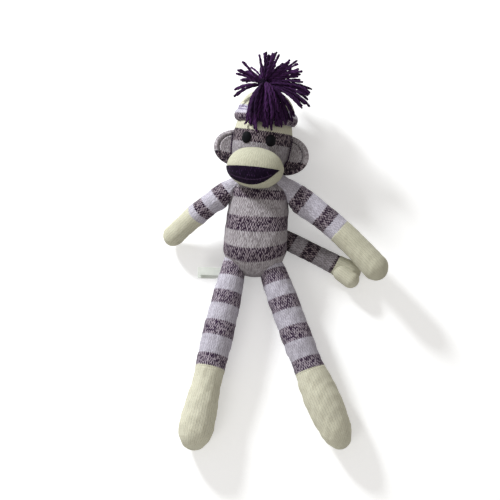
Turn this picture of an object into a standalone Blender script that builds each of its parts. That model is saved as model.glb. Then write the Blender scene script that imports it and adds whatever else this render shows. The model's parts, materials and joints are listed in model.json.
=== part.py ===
# A sock monkey doll that lies on its back: belly to +Z, head to +Y, feet to -Y.
# Left and right are the doll's own, so its left side is at +X.
# The origin is the middle of the flat on which the back of the body rests.
# Every stuffed piece is a form: a sphere carried along a spine and given a girth.
# Where two pieces are sewn together the smaller one is cut by the larger one.

import math

import bmesh
import bpy
import numpy as np
from mathutils import Matrix, Vector

# All lengths are in metres and all angles in degrees.
clearance = 0.0003          # gap between two pieces that touch
rest_depth = 0.0005         # how deep the floor cuts a form that rests on it
overrun = 0.01              # how far a cutter goes beyond what it cuts
tangent_step_share = 0.01   # of a spine's length, over which its direction is taken

# Body
torso_length = 0.134
torso_half_width = 0.0435
torso_half_depth = 0.032
torso_top_round = 0.020     # length over which the shoulders round off
torso_end_round = 0.042     # length over which the seat rounds off
torso_tilt = 7.0            # rise towards the neck
torso_lean = 5.0            # lean of the neck towards the doll's left
torso_width_shares = ((0, 0.98), (0.12, 0.96), (0.3, 0.965), (0.6, 1.0), (0.8, 0.99), (1, 0.9))
torso_depth_shares = ((0, 0.62), (0.12, 0.70), (0.3, 0.86), (0.6, 1.0), (0.8, 0.97), (1, 0.85))

# Neck and head. The head's own directions are across, up to the crown and out of the face.
neck_radius = 0.024
neck_length = 0.030
neck_drop = 0.039           # from the head's middle down to the neck's middle
neck_set_back = 0.004       # how far the neck lies behind the head's axis
neck_thread_radius = 0.0009
head_half_width = 0.0400
head_half_depth = 0.0385
head_above = 0.056          # from the head's middle to the crown
head_below = 0.041          # from the head's middle to the chin
head_crown_round = 0.036
head_chin_round = 0.034
head_offset = 0.0445        # from the body's top to the head's middle
head_shift = -0.0065         # of the head's middle, across
head_roll = 9.0
head_yaw = 8.5
head_pitch = 10.0
head_width_shares = ((0, 0.90), (0.3, 0.97), (0.55, 1.0), (0.8, 0.99), (1, 0.94))

# Muzzle and mouth
muzzle_half_width = 0.0395
muzzle_half_height = 0.0278
muzzle_half_depth = 0.0250
muzzle_back_share = 0.36     # depth of its sewn side, as a share of its front
muzzle_drop = 0.0298        # below the head's middle
muzzle_shift = 0.0026
muzzle_forward = 0.0400     # in front of the head's middle
mouth_shift = -0.0018       # of the mouth's middle, across
mouth_half_width = 0.0365
mouth_low = 0.0010          # its corners below the muzzle's middle, on average
mouth_tip = 0.0022          # how much lower its right corner is, and how much higher its left one
mouth_arch = 0.0015         # how far the upper lip's line rises between them
mouth_depth = 0.0220        # from the corners down to the lowest point
mouth_curve_share = 0.72    # power of the lower edge: 0.5 makes half an ellipse, 1 a parabola
mouth_lean_share = 0.30     # how much blunter its right end is than its left one
mouth_thickness = 0.0014
lip_thread_radius = 0.0009
lip_thread_depth_share = 0.70       # of the mouth's depth
lip_thread_shares = (-0.84, 0.76)   # of the mouth's half width, where the thread starts and ends
lip_thread_points = 13

# Eyes and ears
eye_half_width = 0.0070
eye_half_height = 0.0080
eye_bulge = 0.0042
eye_spread = 0.0165         # from the face's middle line
eye_height = 0.0105
ear_half_height = {"left": 0.0262, "right": 0.0245}
ear_reach = {"left": 0.0270, "right": 0.0242}   # from the head's side to the ear's rim
ear_inset = 0.0060          # how far the ear's middle lies inside the head
ear_half_thickness = 0.0055
ear_drop = 0.0058
ear_range = 25.0            # each way

# Cap and pompom
brim_height = 0.0410        # above the head's middle
brim_tip = 2.5              # its right side hangs lower
brim_half_width = 0.0435
brim_half_depth = 0.0420
brim_roll_half_height = 0.0082
brim_roll_half_thickness = 0.0062
cap_half_width = 0.0405
cap_half_depth = 0.0392
cap_top = 0.0800            # above the head's middle
cap_round = 0.0400
cap_skirt = 0.0075          # how far the crown runs down behind the brim
pompom_lean = 34.0          # of the pompom's axis towards the face
pompom_side_lean = -5.0
pompom_core_radius = 0.0120
pompom_tie_radius = 0.0032
pompom_tie_height = 0.0030
strand_radius = 0.00155
strand_length = 0.0315
strand_front_extra = 0.0290   # the strands over the face are longer
strand_side_extra = 0.0180    # and those at the doll's left
strand_points = 6
# Each ring of strands: how many, the angle from the axis at which they start, and how far they bend.
strand_rings = ((4, 14.0, 12.0), (9, 34.0, 22.0), (13, 52.0, 38.0), (15, 69.0, 50.0), (16, 86.0, 44.0))
strand_root_share = 0.80      # of the core's radius
strand_wobble = 7.0
strand_bend_shares = (0.4, 0.9)   # of a ring's bend: at the back, and what the front adds

# Arms. Places along an arm are measured from its shoulder.
shoulder_along = {"left": 0.0105, "right": 0.0150}
shoulder_across = 0.0360
arm_inset = 0.010           # how far an arm's root runs inside the body
arm_root_length = 0.029
arm_swing_at = 0.022        # where the root bends forward: it bends down at the shoulder itself
arm_radius = 0.0155
hand_end_round = 0.018
arm_root_share = 1.10
arm_start_share = 0.80
left_arm = {"length": 0.180, "sleeve": 0.094, "heading": -42.1, "rise": 0.0105, "bow": 0.0048,
            "arch": 0.0, "girth_share": 1.0, "hand_share": 1.18}
right_arm = {"length": 0.116, "sleeve": 0.064, "heading": 216.6, "rise": -0.0260, "bow": 0.0, "arch": 0.013,
             "girth_share": 0.86, "hand_share": 1.12}

# Legs. Places along a leg are measured from its hip.
hip_up = {"left": 0.0150, "right": 0.0195}   # above the seat's end
hip_across = 0.0245
leg_inset = 0.012
leg_root_length = 0.030
leg_spread_at = 0.023       # where the root bends sideways: it folds at the hip itself
leg_radius = 0.0205
leg_length = 0.2645
leg_stocking = 0.150        # from the hip to the foot's seam
foot_end_round = 0.028
foot_height = 0.0236        # of the foot's middle above the floor
leg_start_shares = ((0, 0.76), (0.1, 0.82), (0.2, 0.92), (0.33, 0.99))
left_leg_shares = ((0.45, 1.0), (0.55, 0.96), (0.65, 1.12), (0.77, 1.19), (0.87, 1.08), (1, 0.82))
right_leg_shares = ((0.45, 1.02), (0.55, 0.98), (0.65, 0.94), (0.77, 1.07), (0.87, 1.15), (1, 0.98))
left_leg = {"heading": -68.7, "bow": -0.0015, "width_shares": leg_start_shares + left_leg_shares}
right_leg = {"heading": 257.2, "bow": 0.0, "width_shares": leg_start_shares + right_leg_shares}

# Tail. It is sewn to the back, low at the doll's left.
tail_up = 0.061             # above the seat's end
tail_across = 0.034
tail_height = 0.0135        # of the tail's middle above the floor
tail_inset = 0.008
tail_root_length = 0.021
tail_lift_at = 0.015        # where the root bends up: it bends sideways at the body itself
tail_length = 0.084         # from the body to the tip's seam
tail_radius = 0.0130
tail_heading = -27.0
tail_tip_length = 0.0330
tail_tip_heading = -22.0
tail_tip_radius = 0.0132
tail_curl_radius = 0.0128
tail_curl_drop = 0.0040     # from the tip's end towards the feet
tail_curl_back = 0.0160
tail_curl_rise = 0.0040
tail_width_shares = ((0, 0.9), (0.2, 0.97), (0.6, 1.0), (1, 1.03))

# Sewn label: a ribbon folded in two, sewn in at the right hip
label_length = 0.0300
label_width = 0.0112
label_thickness = 0.0007
label_opening = 7.0         # degrees between the two flaps
label_along = 0.0158        # from the hip towards the foot
label_slant = 11.0          # it is sewn in askew
label_height_share = -0.35  # of the hip's radius
label_tuck = 0.0080

knit = {"pale": (0.62, 0.58, 0.66), "marl": (0.22, 0.15, 0.25), "cream": (0.72, 0.71, 0.58)}
dark = {"yarn": (0.055, 0.012, 0.10), "thread": (0.10, 0.03, 0.12), "eye": (0.012, 0.012, 0.014)}
white = (0.75, 0.77, 0.72)


def clear_scene():
    for item in list(bpy.data.objects):
        bpy.data.objects.remove(item, do_unlink=True)


def make_collection(name):
    found = bpy.data.collections.new(name)
    bpy.context.scene.collection.children.link(found)
    return found


clear_scene()
doll = make_collection("sock_monkey_doll")
cutters = make_collection("cutters")


def make_material(name, colour, roughness):
    material = bpy.data.materials.new(name)
    material.use_nodes = True
    shader = material.node_tree.nodes["Principled BSDF"]
    shader.inputs["Base Color"].default_value = (*colour, 1)
    shader.inputs["Roughness"].default_value = roughness
    shader.inputs["Metallic"].default_value = 0
    return material


def smooth_table(table, at):
    """Cubic curve through the table's points, level beyond its ends."""
    xs, ys = np.array(table, float).T
    slopes = np.gradient(ys, xs)
    at = np.clip(at, xs[0], xs[-1])
    i = np.clip(np.searchsorted(xs, at) - 1, 0, len(xs) - 2)
    step = xs[i + 1] - xs[i]
    u = (at - xs[i]) / step
    return ((1 + 2 * u) * (1 - u) ** 2 * ys[i] + u * (1 - u) ** 2 * step * slopes[i]
            + u ** 2 * (3 - 2 * u) * ys[i + 1] + u ** 2 * (u - 1) * step * slopes[i + 1])


class Form:
    """A stuffed shape: its spine, its half width and half depth, and how its ends round off."""

    def __init__(self, points, half_width, half_depth, rounds, width_shares=((0, 1), (1, 1)),
                 depth_shares=None, front=(0, 0, 1), segments=(16, 14), back_share=1.0):
        self.points = np.array([tuple(p) for p in points], float)
        steps = np.linalg.norm(np.diff(self.points, axis=0), axis=1)
        self.length = steps.sum()
        self.shares = np.concatenate(([0], np.cumsum(steps))) / self.length
        self.half_width, self.half_depth, self.rounds = half_width, half_depth, rounds
        self.width_shares = width_shares
        self.depth_shares = depth_shares or width_shares
        self.front = np.array(front, float)
        self.segments = segments
        self.back_share = back_share

    def along_table(self, at):
        return np.stack([smooth_table(list(zip(self.shares, column)), at) for column in self.points.T], -1)

    def spine(self, at):
        inside = np.clip(at, 0, 1)
        place = self.along_table(inside)
        beyond = np.asarray(at - inside)[..., None] * self.length
        return place + beyond * self.tangent(at)

    def tangent(self, at):
        step = tangent_step_share
        low = np.clip(np.asarray(at) - step, 0, 1 - 2 * step)
        high = np.clip(np.asarray(at) + step, 2 * step, 1)
        way = self.along_table(high) - self.along_table(low)
        return way / np.linalg.norm(way, axis=-1, keepdims=True)

    def sides(self, at):
        way = self.tangent(at)
        across = np.cross(way, self.front)
        across /= np.linalg.norm(across, axis=-1, keepdims=True)
        return across, np.cross(across, way)

    def rounding(self, at):
        """Quarter of an ellipse at each end, 1 in between."""
        start = np.clip(1 - at * self.length / self.rounds[0], 0, 1)
        end = np.clip(1 - (1 - at) * self.length / self.rounds[1], 0, 1)
        return np.sqrt(np.clip(1 - start ** 2, 0, 1) * np.clip(1 - end ** 2, 0, 1))

    def mesh(self, name, grow=0.0):
        shape = bmesh.new()
        bmesh.ops.create_uvsphere(shape, u_segments=self.segments[0], v_segments=self.segments[1], radius=1)
        unit = np.array([v.co for v in shape.verts])
        at = (1 - unit[:, 2]) / 2
        turn = np.arctan2(unit[:, 1], unit[:, 0])
        round_off = self.rounding(at)
        width = (self.half_width * smooth_table(self.width_shares, at) + grow) * round_off
        deep = self.half_depth * np.where(np.sin(turn) < 0, self.back_share, 1)
        depth = (deep * smooth_table(self.depth_shares, at) + grow) * round_off
        across, front = self.sides(at)
        middle = self.spine(at + (2 * at - 1) * grow / self.length)
        places = middle + across * (width * np.cos(turn))[:, None] + front * (depth * np.sin(turn))[:, None]
        for vert, place in zip(shape.verts, places):
            vert.co = place
        mesh = bpy.data.meshes.new(name)
        shape.to_mesh(mesh)
        shape.free()
        return mesh


def add_object(name, mesh, colour, roughness=0.95, pivot=(0, 0, 0), parent=None):
    """Put a mesh made in world places into the doll, with its origin at its pivot."""
    pivot = Vector(pivot)
    mesh.transform(Matrix.Translation(-pivot))
    mesh.shade_smooth()
    mesh.set_sharp_from_angle(angle=math.radians(40))
    mesh.materials.clear()
    mesh.materials.append(make_material(name, colour, roughness))
    item = bpy.data.objects.new(name, mesh)
    doll.objects.link(item)
    item.parent = parent
    item.location = pivot - (Vector(parent["pivot"]) if parent else Vector())
    item["pivot"] = tuple(pivot)
    return item


def add_cutter(name, mesh):
    item = bpy.data.objects.new("cut_" + name, mesh)
    cutters.objects.link(item)
    item.hide_render = True
    item.display_type = "WIRE"
    return item


def boolean(item, other, operation="DIFFERENCE"):
    modifier = item.modifiers.new(operation.lower() + "_" + other.name, "BOOLEAN")
    modifier.operation = operation
    modifier.solver = "EXACT"
    modifier.object = other


def cut_flat(mesh, point, way):
    """Remove what lies beyond the point along the way, and close the cut."""
    shape = bmesh.new()
    shape.from_mesh(mesh)
    whole = list(shape.verts) + list(shape.edges) + list(shape.faces)
    found = bmesh.ops.bisect_plane(shape, geom=whole, plane_co=tuple(point), plane_no=tuple(way),
                                   clear_outer=True)
    rim = [e for e in found["geom_cut"] if isinstance(e, bmesh.types.BMEdge)]
    bmesh.ops.contextual_create(shape, geom=rim)
    bmesh.ops.recalc_face_normals(shape, faces=shape.faces)
    shape.to_mesh(mesh)
    shape.free()


def form_piece(name, form, start=None, end=None):
    """The stretch of a form between two shares of its spine, with half the gap at each cut."""
    mesh = form.mesh(name)
    half_gap = clearance / 2
    if start is not None:
        way = form.tangent(start)
        cut_flat(mesh, form.spine(start) + way * half_gap, -way)
    if end is not None:
        way = form.tangent(end)
        cut_flat(mesh, form.spine(end) - way * half_gap, way)
    return mesh


def heading_vector(degrees, rise=0.0):
    flat = math.cos(math.radians(rise))
    return Vector((math.cos(math.radians(degrees)) * flat, math.sin(math.radians(degrees)) * flat,
                   math.sin(math.radians(rise))))


# Body: the spine runs from the neck to the seat, and its lowest point lies over the origin.
torso_way = -heading_vector(90 - torso_lean, torso_tilt)
torso_side = torso_way.cross(Vector((0, 0, 1))).normalized() * -1
torso_front = torso_way.cross(torso_side).normalized()


def torso_form(top):
    return Form((top, top + torso_way * torso_length), torso_half_width, torso_half_depth,
                (torso_top_round, torso_end_round), torso_width_shares, torso_depth_shares, segments=(28, 18))


trial = np.array([v.co for v in torso_form(Vector()).mesh("trial").vertices])
lowest = trial[:, 2].min()
resting = trial[trial[:, 2] < lowest + rest_depth].mean(axis=0)
torso_top = Vector((-resting[0], -resting[1], -lowest - rest_depth))
torso = torso_form(torso_top)


def on_torso(along, across):
    return torso_top + torso_way * along + torso_side * across


# Head: a frame of three directions, turned from facing straight up by pitch, roll and yaw.
head_lean = Matrix.Rotation(math.radians(-head_roll), 3, "Z")
head_turn = (Matrix.Rotation(math.radians(head_pitch), 3, "X") @ head_lean
             @ Matrix.Rotation(math.radians(-head_yaw), 3, "Y"))
head_across, head_up, head_out = (head_turn.col[i].copy() for i in range(3))
head_rest_height = head_half_depth - rest_depth
head_plan = torso_top + head_lean @ Vector((head_shift, head_offset, 0))
head_middle = Vector((head_plan.x, head_plan.y, head_rest_height))


def on_head(across, up, out):
    return head_middle + head_across * across + head_up * up + head_out * out


head = Form((on_head(0, -head_below, 0), on_head(0, head_above, 0)), head_half_width, head_half_depth,
            (head_chin_round, head_crown_round), head_width_shares, front=head_out, segments=(24, 16))
neck_middle = on_head(0, -neck_drop, -neck_set_back)
neck_way = (head_up - torso_way).normalized()
neck = Form((neck_middle - neck_way * neck_length / 2, neck_middle + neck_way * neck_length / 2),
            neck_radius, neck_radius, (neck_length / 4, neck_length / 4), front=head_out, segments=(20, 8))
muzzle_middle = on_head(muzzle_shift, -muzzle_drop, muzzle_forward)
muzzle = Form((muzzle_middle - head_up * muzzle_half_height, muzzle_middle + head_up * muzzle_half_height),
              muzzle_half_width, muzzle_half_depth, (muzzle_half_height, muzzle_half_height), front=head_out,
              segments=(24, 14), back_share=muzzle_back_share)
cap = Form((on_head(0, brim_height - cap_skirt, 0), on_head(0, cap_top, 0)), cap_half_width, cap_half_depth,
           (cap_skirt / 2, cap_round), front=head_out, segments=(24, 16))


def limb(root, heading, length, end_height, bow, arch, inset):
    """Spine of a limb: starts inside the body and passes a middle point that is bowed and arched."""
    way = heading_vector(heading)
    side = Vector((-way.y, way.x, 0))
    tip = root + way * length
    tip.z = end_height
    middle = (root + tip) / 2 + side * bow + Vector((0, 0, arch))
    first = (middle - root).normalized()
    return (root - first * inset, root, middle, tip)


def arm_form(root, values):
    radius = arm_radius * values["girth_share"]
    hand = values["hand_share"]
    width_shares = ((0, arm_start_share), (0.16, arm_root_share), (0.35, 1), (0.55, 1),
                    (0.72, (1 + hand) / 2), (0.86, hand), (1, hand))
    return Form(limb(root, values["heading"], values["length"], root.z + values["rise"], values["bow"],
                     values["arch"], arm_inset),
                radius, radius, (arm_inset / 2, hand_end_round * values["girth_share"]), width_shares,
                segments=(16, 20))


def leg_form(root, values):
    return Form(limb(root, values["heading"], leg_length, foot_height, values["bow"], 0, leg_inset),
                leg_radius, leg_radius, (leg_inset / 2, foot_end_round), values["width_shares"],
                segments=(16, 22))


shoulder = {side: on_torso(shoulder_along[side], sign * shoulder_across)
            for side, sign in (("left", 1), ("right", -1))}
hip = {side: on_torso(torso_length - hip_up[side], sign * hip_across)
       for side, sign in (("left", 1), ("right", -1))}
arm = {"left": arm_form(shoulder["left"], left_arm), "right": arm_form(shoulder["right"], right_arm)}
leg = {"left": leg_form(hip["left"], left_leg), "right": leg_form(hip["right"], right_leg)}
sleeve = {"left": left_arm["sleeve"], "right": right_arm["sleeve"]}


def place_along(form, along):
    return Vector(form.spine(along / form.length))


arm_swing = {side: place_along(form, arm_inset + arm_swing_at) for side, form in arm.items()}
leg_spread = {side: place_along(form, leg_inset + leg_spread_at) for side, form in leg.items()}

tail_root = on_torso(torso_length - tail_up, tail_across)
tail_root.z = tail_height
tail_way = heading_vector(tail_heading)
tail_seam = tail_root + tail_way * tail_length
tail = Form((tail_root - tail_way * tail_inset, tail_seam + tail_way * tail_radius), tail_radius, tail_radius,
            (tail_inset / 2, tail_radius), tail_width_shares, segments=(16, 14))
tail_lift = place_along(tail, tail_inset + tail_lift_at)
tip_way = heading_vector(tail_tip_heading)
tip_end = tail_seam + tip_way * tail_tip_length
tail_tip = Form((tail_seam - tail_way * tail_radius, tail_seam + tail_way * tail_radius / 4, tip_end),
                tail_tip_radius, tail_tip_radius, (tail_radius / 2, tail_tip_radius), segments=(16, 12))
curl_middle = tip_end + Vector((-tail_curl_back, -tail_curl_drop, tail_curl_rise))
curl_half = Vector((tail_curl_radius, 0, 0))
tail_curl = Form((curl_middle - curl_half, curl_middle + curl_half), tail_curl_radius, tail_curl_radius,
                 (tail_curl_radius, tail_curl_radius), segments=(16, 10))

# Cutters: each larger form grown by the clearance, and the floor.
larger_forms = {"torso": torso, "head": head, "neck": neck, "muzzle": muzzle, "cap": cap}
cut_by = {name: add_cutter(name, form.mesh("cut_" + name, grow=clearance))
          for name, form in larger_forms.items()}
floor_reach = leg_length + torso_length + arm_radius
floor_shape = bmesh.new()
bmesh.ops.create_cube(floor_shape, size=1)
bmesh.ops.scale(floor_shape, vec=(2 * floor_reach, 3 * floor_reach, overrun), verts=floor_shape.verts)
bmesh.ops.translate(floor_shape, vec=(0, 0, -overrun / 2), verts=floor_shape.verts)
floor_mesh = bpy.data.meshes.new("cut_floor")
floor_shape.to_mesh(floor_mesh)
floor_shape.free()
cut_by["floor"] = add_cutter("floor", floor_mesh)


def cut(item, *names):
    for name in names:
        boolean(item, cut_by[name])


def build_body():
    body = add_object("torso", torso.mesh("torso"), knit["pale"])
    cut(body, "floor")
    return body


def build_neck(body):
    pivot = neck_middle
    band = add_object("neck", neck.mesh("neck"), knit["pale"], pivot=pivot, parent=body)
    cut(band, "torso", "head", "muzzle")
    radius = neck_radius + clearance + neck_thread_radius
    bpy.ops.mesh.primitive_torus_add(major_radius=radius, minor_radius=neck_thread_radius, major_segments=28,
                                     minor_segments=6)
    ring = bpy.context.active_object
    mesh = ring.data.copy()
    bpy.data.objects.remove(ring)
    turn = neck_way.to_track_quat("Z", "Y").to_matrix().to_4x4()
    mesh.transform(Matrix.Translation(pivot) @ turn)
    seam = add_object("neck_seam", mesh, dark["thread"], 0.8, pivot, band)
    cut(seam, "torso", "head", "muzzle")
    return seam


def build_head(seam):
    top = add_object("head", head.mesh("head"), knit["pale"], pivot=neck_middle, parent=seam)
    cut(top, "torso", "floor")
    return top


def on_muzzle(across, up, lift):
    """A place on the muzzle's front, lifted off it along its normal."""
    inside = 1 - (across / muzzle_half_width) ** 2 - (up / muzzle_half_height) ** 2
    out = muzzle_half_depth * math.sqrt(max(inside, 0))
    normal = (head_across * across / muzzle_half_width ** 2 + head_up * up / muzzle_half_height ** 2
              + head_out * out / muzzle_half_depth ** 2).normalized()
    return muzzle_middle + head_across * across + head_up * up + head_out * out + normal * lift


def mouth_place(share, depth_share):
    """A place in the mouth: share runs from -1, its right corner, to 1, its left one, depth_share down."""
    bulge = 1 - share * share
    fall = mouth_depth * bulge ** (mouth_curve_share + mouth_lean_share * share) if bulge > 0 else 0.0
    line = mouth_tip * share - mouth_low + mouth_arch * bulge * (1 - depth_share)
    return mouth_shift + share * mouth_half_width, line - fall * depth_share


def mouth_outline(count=14):
    """A half moon whose right end is the blunter one."""
    shares = [-1 + 2 * i / count for i in range(count + 1)]
    return [mouth_place(s, 0) for s in shares] + [mouth_place(s, 1) for s in reversed(shares[1:-1])]


def curve_mesh(name, splines, bevel=0.0, extrude=0.0, fill="FULL", cyclic=False, resolution=1):
    """A curve object turned into a closed mesh, with its caps welded."""
    curve = bpy.data.curves.new(name, "CURVE")
    curve.dimensions = "3D" if bevel else "2D"
    curve.fill_mode = fill
    curve.bevel_depth, curve.extrude = bevel, extrude
    curve.bevel_resolution = resolution
    curve.render_resolution_u = 0
    curve.use_fill_caps = bool(bevel)
    for points in splines:
        spline = curve.splines.new("POLY")
        spline.points.add(len(points) - 1)
        for target, point in zip(spline.points, points):
            target.co = (*point, 1) if len(point) == 3 else (*point, 0, 1)
        spline.use_cyclic_u = cyclic
    item = bpy.data.objects.new(name, curve)
    bpy.context.scene.collection.objects.link(item)
    mesh = bpy.data.meshes.new_from_object(item.evaluated_get(bpy.context.evaluated_depsgraph_get()))
    bpy.data.objects.remove(item)
    shape = bmesh.new()
    shape.from_mesh(mesh)
    bmesh.ops.remove_doubles(shape, verts=shape.verts, dist=clearance / 10)
    bmesh.ops.recalc_face_normals(shape, faces=shape.faces)
    shape.to_mesh(mesh)
    shape.free()
    return mesh


def face_matrix(origin):
    turn = Matrix((head_across, head_up, head_out)).transposed().to_4x4()
    return Matrix.Translation(origin) @ turn


def build_face(top):
    snout = add_object("muzzle", muzzle.mesh("muzzle"), knit["cream"], pivot=neck_middle, parent=top)
    cut(snout, "head", "torso")
    # The mouth is a patch on the muzzle: a grown muzzle, kept inside the half moon, less the muzzle itself.
    patch = add_object("mouth", muzzle.mesh("mouth", grow=clearance + mouth_thickness), dark["yarn"],
                       pivot=neck_middle, parent=top)
    prism = curve_mesh("mouth_prism", [mouth_outline()], extrude=muzzle_half_depth, fill="BOTH", cyclic=True)
    prism.transform(face_matrix(muzzle_middle + head_out * (muzzle_half_depth + clearance)))
    boolean(patch, add_cutter("mouth_prism", prism), "INTERSECT")
    cut(patch, "muzzle", "head")
    low, high = lip_thread_shares
    points = []
    for i in range(lip_thread_points):
        across, up = mouth_place(low + (high - low) * i / (lip_thread_points - 1), lip_thread_depth_share)
        points.append(tuple(on_muzzle(across, up, mouth_thickness + 2 * clearance + lip_thread_radius)))
    add_object("mouth_stitch", curve_mesh("mouth_stitch", [points], bevel=lip_thread_radius), dark["thread"],
               0.8, neck_middle, top)
    for side, sign in (("left", 1), ("right", -1)):
        across = sign * eye_spread
        inside = 1 - (across / head_half_width) ** 2
        seat = on_head(across, eye_height, head_half_depth * math.sqrt(inside))
        outward = (head_across * across / head_half_width ** 2
                   + head_out * math.sqrt(inside) / head_half_depth).normalized()
        eye = Form((seat - head_up * eye_half_height, seat + head_up * eye_half_height), eye_half_width,
                   eye_bulge, (eye_half_height, eye_half_height), front=outward, segments=(16, 10))
        cut(add_object("eye_" + side, eye.mesh("eye"), dark["eye"], 0.35, neck_middle, top), "head")


def ear_form(side, sign):
    middle = on_head(sign * (head_half_width - ear_inset), -ear_drop, 0)
    half_height = ear_half_height[side]
    reach = head_up * half_height
    return Form((middle - reach, middle + reach), ear_reach[side] + ear_inset, ear_half_thickness,
                (half_height, half_height), front=head_out, segments=(20, 12))


def build_ears(top):
    """An ear is cut by the head at rest and at both ends of the ear's range, so that it bends freely."""
    for side, sign in (("left", 1), ("right", -1)):
        root = on_head(sign * head_half_width, -ear_drop, 0)
        ear = add_object("ear_" + side, ear_form(side, sign).mesh("ear"), knit["pale"], pivot=root,
                         parent=top)
        for degrees in (-ear_range, 0, ear_range):
            mesh = head.mesh("cut_head_turned", grow=2 * clearance)
            turn = Matrix.Rotation(math.radians(degrees), 4, head_up)
            mesh.transform(Matrix.Translation(root) @ turn @ Matrix.Translation(-root))
            boolean(ear, add_cutter(f"head_{side}_{degrees:.0f}", mesh))


def build_cap(top):
    crown = add_object("cap_crown", cap.mesh("cap_crown"), knit["cream"], pivot=neck_middle, parent=top)
    cut(crown, "head")
    bpy.ops.mesh.primitive_torus_add(major_radius=1, minor_radius=brim_roll_half_thickness / brim_half_width,
                                     major_segments=32, minor_segments=10)
    ring = bpy.context.active_object
    mesh = ring.data.copy()
    bpy.data.objects.remove(ring)
    thick = brim_roll_half_thickness
    wide, deep = brim_half_width - thick, brim_half_depth - thick
    tall = brim_roll_half_height / thick * brim_half_width
    turn = Matrix((head_across, head_out * -1, head_up)).transposed()
    turn = (Matrix.Rotation(math.radians(brim_tip), 3, head_out) @ turn).to_4x4()
    size = Matrix.Diagonal((wide, deep, tall, 1))
    mesh.transform(Matrix.Translation(on_head(0, brim_height, 0)) @ turn @ size)
    brim = add_object("cap_brim", mesh, knit["marl"], pivot=neck_middle, parent=top)
    cut(brim, "head", "cap", "floor")


def build_pompom(top):
    """A core of knotted yarn with thick strands that spring from it and fall over the cap."""
    lean = math.radians(pompom_lean)
    axis = (head_up * math.cos(lean) + head_out * math.sin(lean)
            + head_across * math.sin(math.radians(pompom_side_lean))).normalized()
    centre = on_head(0, brim_height, 0)
    across, up, out = axis.dot(head_across), axis.dot(head_up), axis.dot(head_out)
    rise = cap_top - brim_height
    reach = 1 / math.sqrt((across / cap_half_width) ** 2 + (up / rise) ** 2 + (out / cap_half_depth) ** 2)
    seat = centre + axis * reach
    tie_shape = bmesh.new()
    bmesh.ops.create_cone(tie_shape, cap_ends=True, segments=16, radius1=pompom_tie_radius,
                          radius2=pompom_tie_radius, depth=2 * pompom_tie_height)
    tie_mesh = bpy.data.meshes.new("pompom_tie")
    tie_shape.to_mesh(tie_mesh)
    tie_shape.free()
    tie_mesh.transform(Matrix.Translation(seat) @ axis.to_track_quat("Z", "Y").to_matrix().to_4x4())
    tie = add_object("pompom_tie", tie_mesh, dark["thread"], 0.9, seat, top)
    cut(tie, "cap")
    knot = seat + axis * (pompom_tie_height + clearance + pompom_core_radius)
    shape = bmesh.new()
    bmesh.ops.create_icosphere(shape, subdivisions=2, radius=pompom_core_radius)
    mesh = bpy.data.meshes.new("pompom")
    shape.to_mesh(mesh)
    shape.free()
    mesh.transform(Matrix.Translation(knot))
    pompom = add_object("pompom", mesh, dark["yarn"], 0.95, seat, tie)
    front = (head_out - axis * head_out.dot(axis)).normalized()
    side = axis.cross(front)
    strands = []
    back_bend, front_bend = strand_bend_shares
    for ring, (count, start_angle, bend) in enumerate(strand_rings):
        for i in range(count):
            turn = 2 * math.pi * (i + ring / 2) / count
            wobble = strand_wobble * math.sin(5 * turn + 3 * ring)
            facing = max(0.0, math.cos(turn)) ** 2
            way = front * math.cos(turn) + side * math.sin(turn)
            spread = ring / (len(strand_rings) - 1)
            length = strand_length + spread * (strand_front_extra * facing
                                               + strand_side_extra * max(0.0, math.sin(turn)))
            step = length / (strand_points - 1)
            angle = math.radians(start_angle + wobble / 2)
            root = pompom_core_radius * strand_root_share
            place = knot + (axis * math.cos(angle) + way * math.sin(angle)) * root
            turn_each = (bend + wobble) * (back_bend + front_bend * facing) / (strand_points - 2)
            points = [tuple(place)]
            for j in range(strand_points - 1):
                place = place + (axis * math.cos(angle) + way * math.sin(angle)) * step
                points.append(tuple(place))
                angle += math.radians(turn_each)
            strands.append(points)
    bunch = curve_mesh("strands", strands, bevel=strand_radius, resolution=0)
    cutter = add_cutter("strands", bunch)
    boolean(pompom, cutter, "UNION")
    pompom.modifiers[-1].use_self = True


def build_arms(body):
    for side in ("left", "right"):
        form = arm[side]
        root_end = (arm_inset + arm_root_length) / form.length
        wrist = (arm_inset + sleeve[side]) / form.length
        root = add_object("shoulder_" + side, form_piece("shoulder", form, None, root_end), knit["pale"],
                          pivot=shoulder[side], parent=body)
        cut(root, "torso", "head")
        bend = arm_swing[side]
        upper = add_object("arm_" + side, form_piece("arm", form, root_end, wrist), knit["marl"],
                           pivot=bend, parent=root)
        hand = add_object("hand_" + side, form_piece("hand", form, wrist, None), knit["cream"],
                          pivot=bend, parent=upper)
        cut(hand, "floor")


def build_legs(body):
    for side in ("left", "right"):
        form = leg[side]
        root_end = (leg_inset + leg_root_length) / form.length
        ankle = (leg_inset + leg_stocking) / form.length
        root = add_object("hip_" + side, form_piece("hip", form, None, root_end), knit["marl"],
                          pivot=hip[side], parent=body)
        cut(root, "torso")
        bend = leg_spread[side]
        lower = add_object("leg_" + side, form_piece("leg", form, root_end, ankle), knit["pale"],
                           pivot=bend, parent=root)
        foot = add_object("foot_" + side, form_piece("foot", form, ankle, None), knit["cream"],
                          pivot=bend, parent=lower)
        cut(foot, "floor")


def build_tail(body):
    root_end = (tail_inset + tail_root_length) / tail.length
    seam = (tail_inset + tail_length) / tail.length
    root = add_object("tail_root", form_piece("tail_root", tail, None, root_end), knit["marl"],
                      pivot=tail_root, parent=body)
    cut(root, "torso", "floor")
    middle = add_object("tail", form_piece("tail", tail, root_end, seam), knit["marl"], pivot=tail_lift,
                        parent=root)
    cut(middle, "floor")
    mesh = tail_tip.mesh("tail_tip")
    cut_flat(mesh, tail_seam + tail_way * clearance / 2, -tail_way)
    tip = add_object("tail_tip", mesh, knit["cream"], pivot=tail_seam, parent=middle)
    boolean(tip, add_cutter("tail_curl", tail_curl.mesh("cut_tail_curl")), "UNION")
    cut(tip, "floor")


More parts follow.
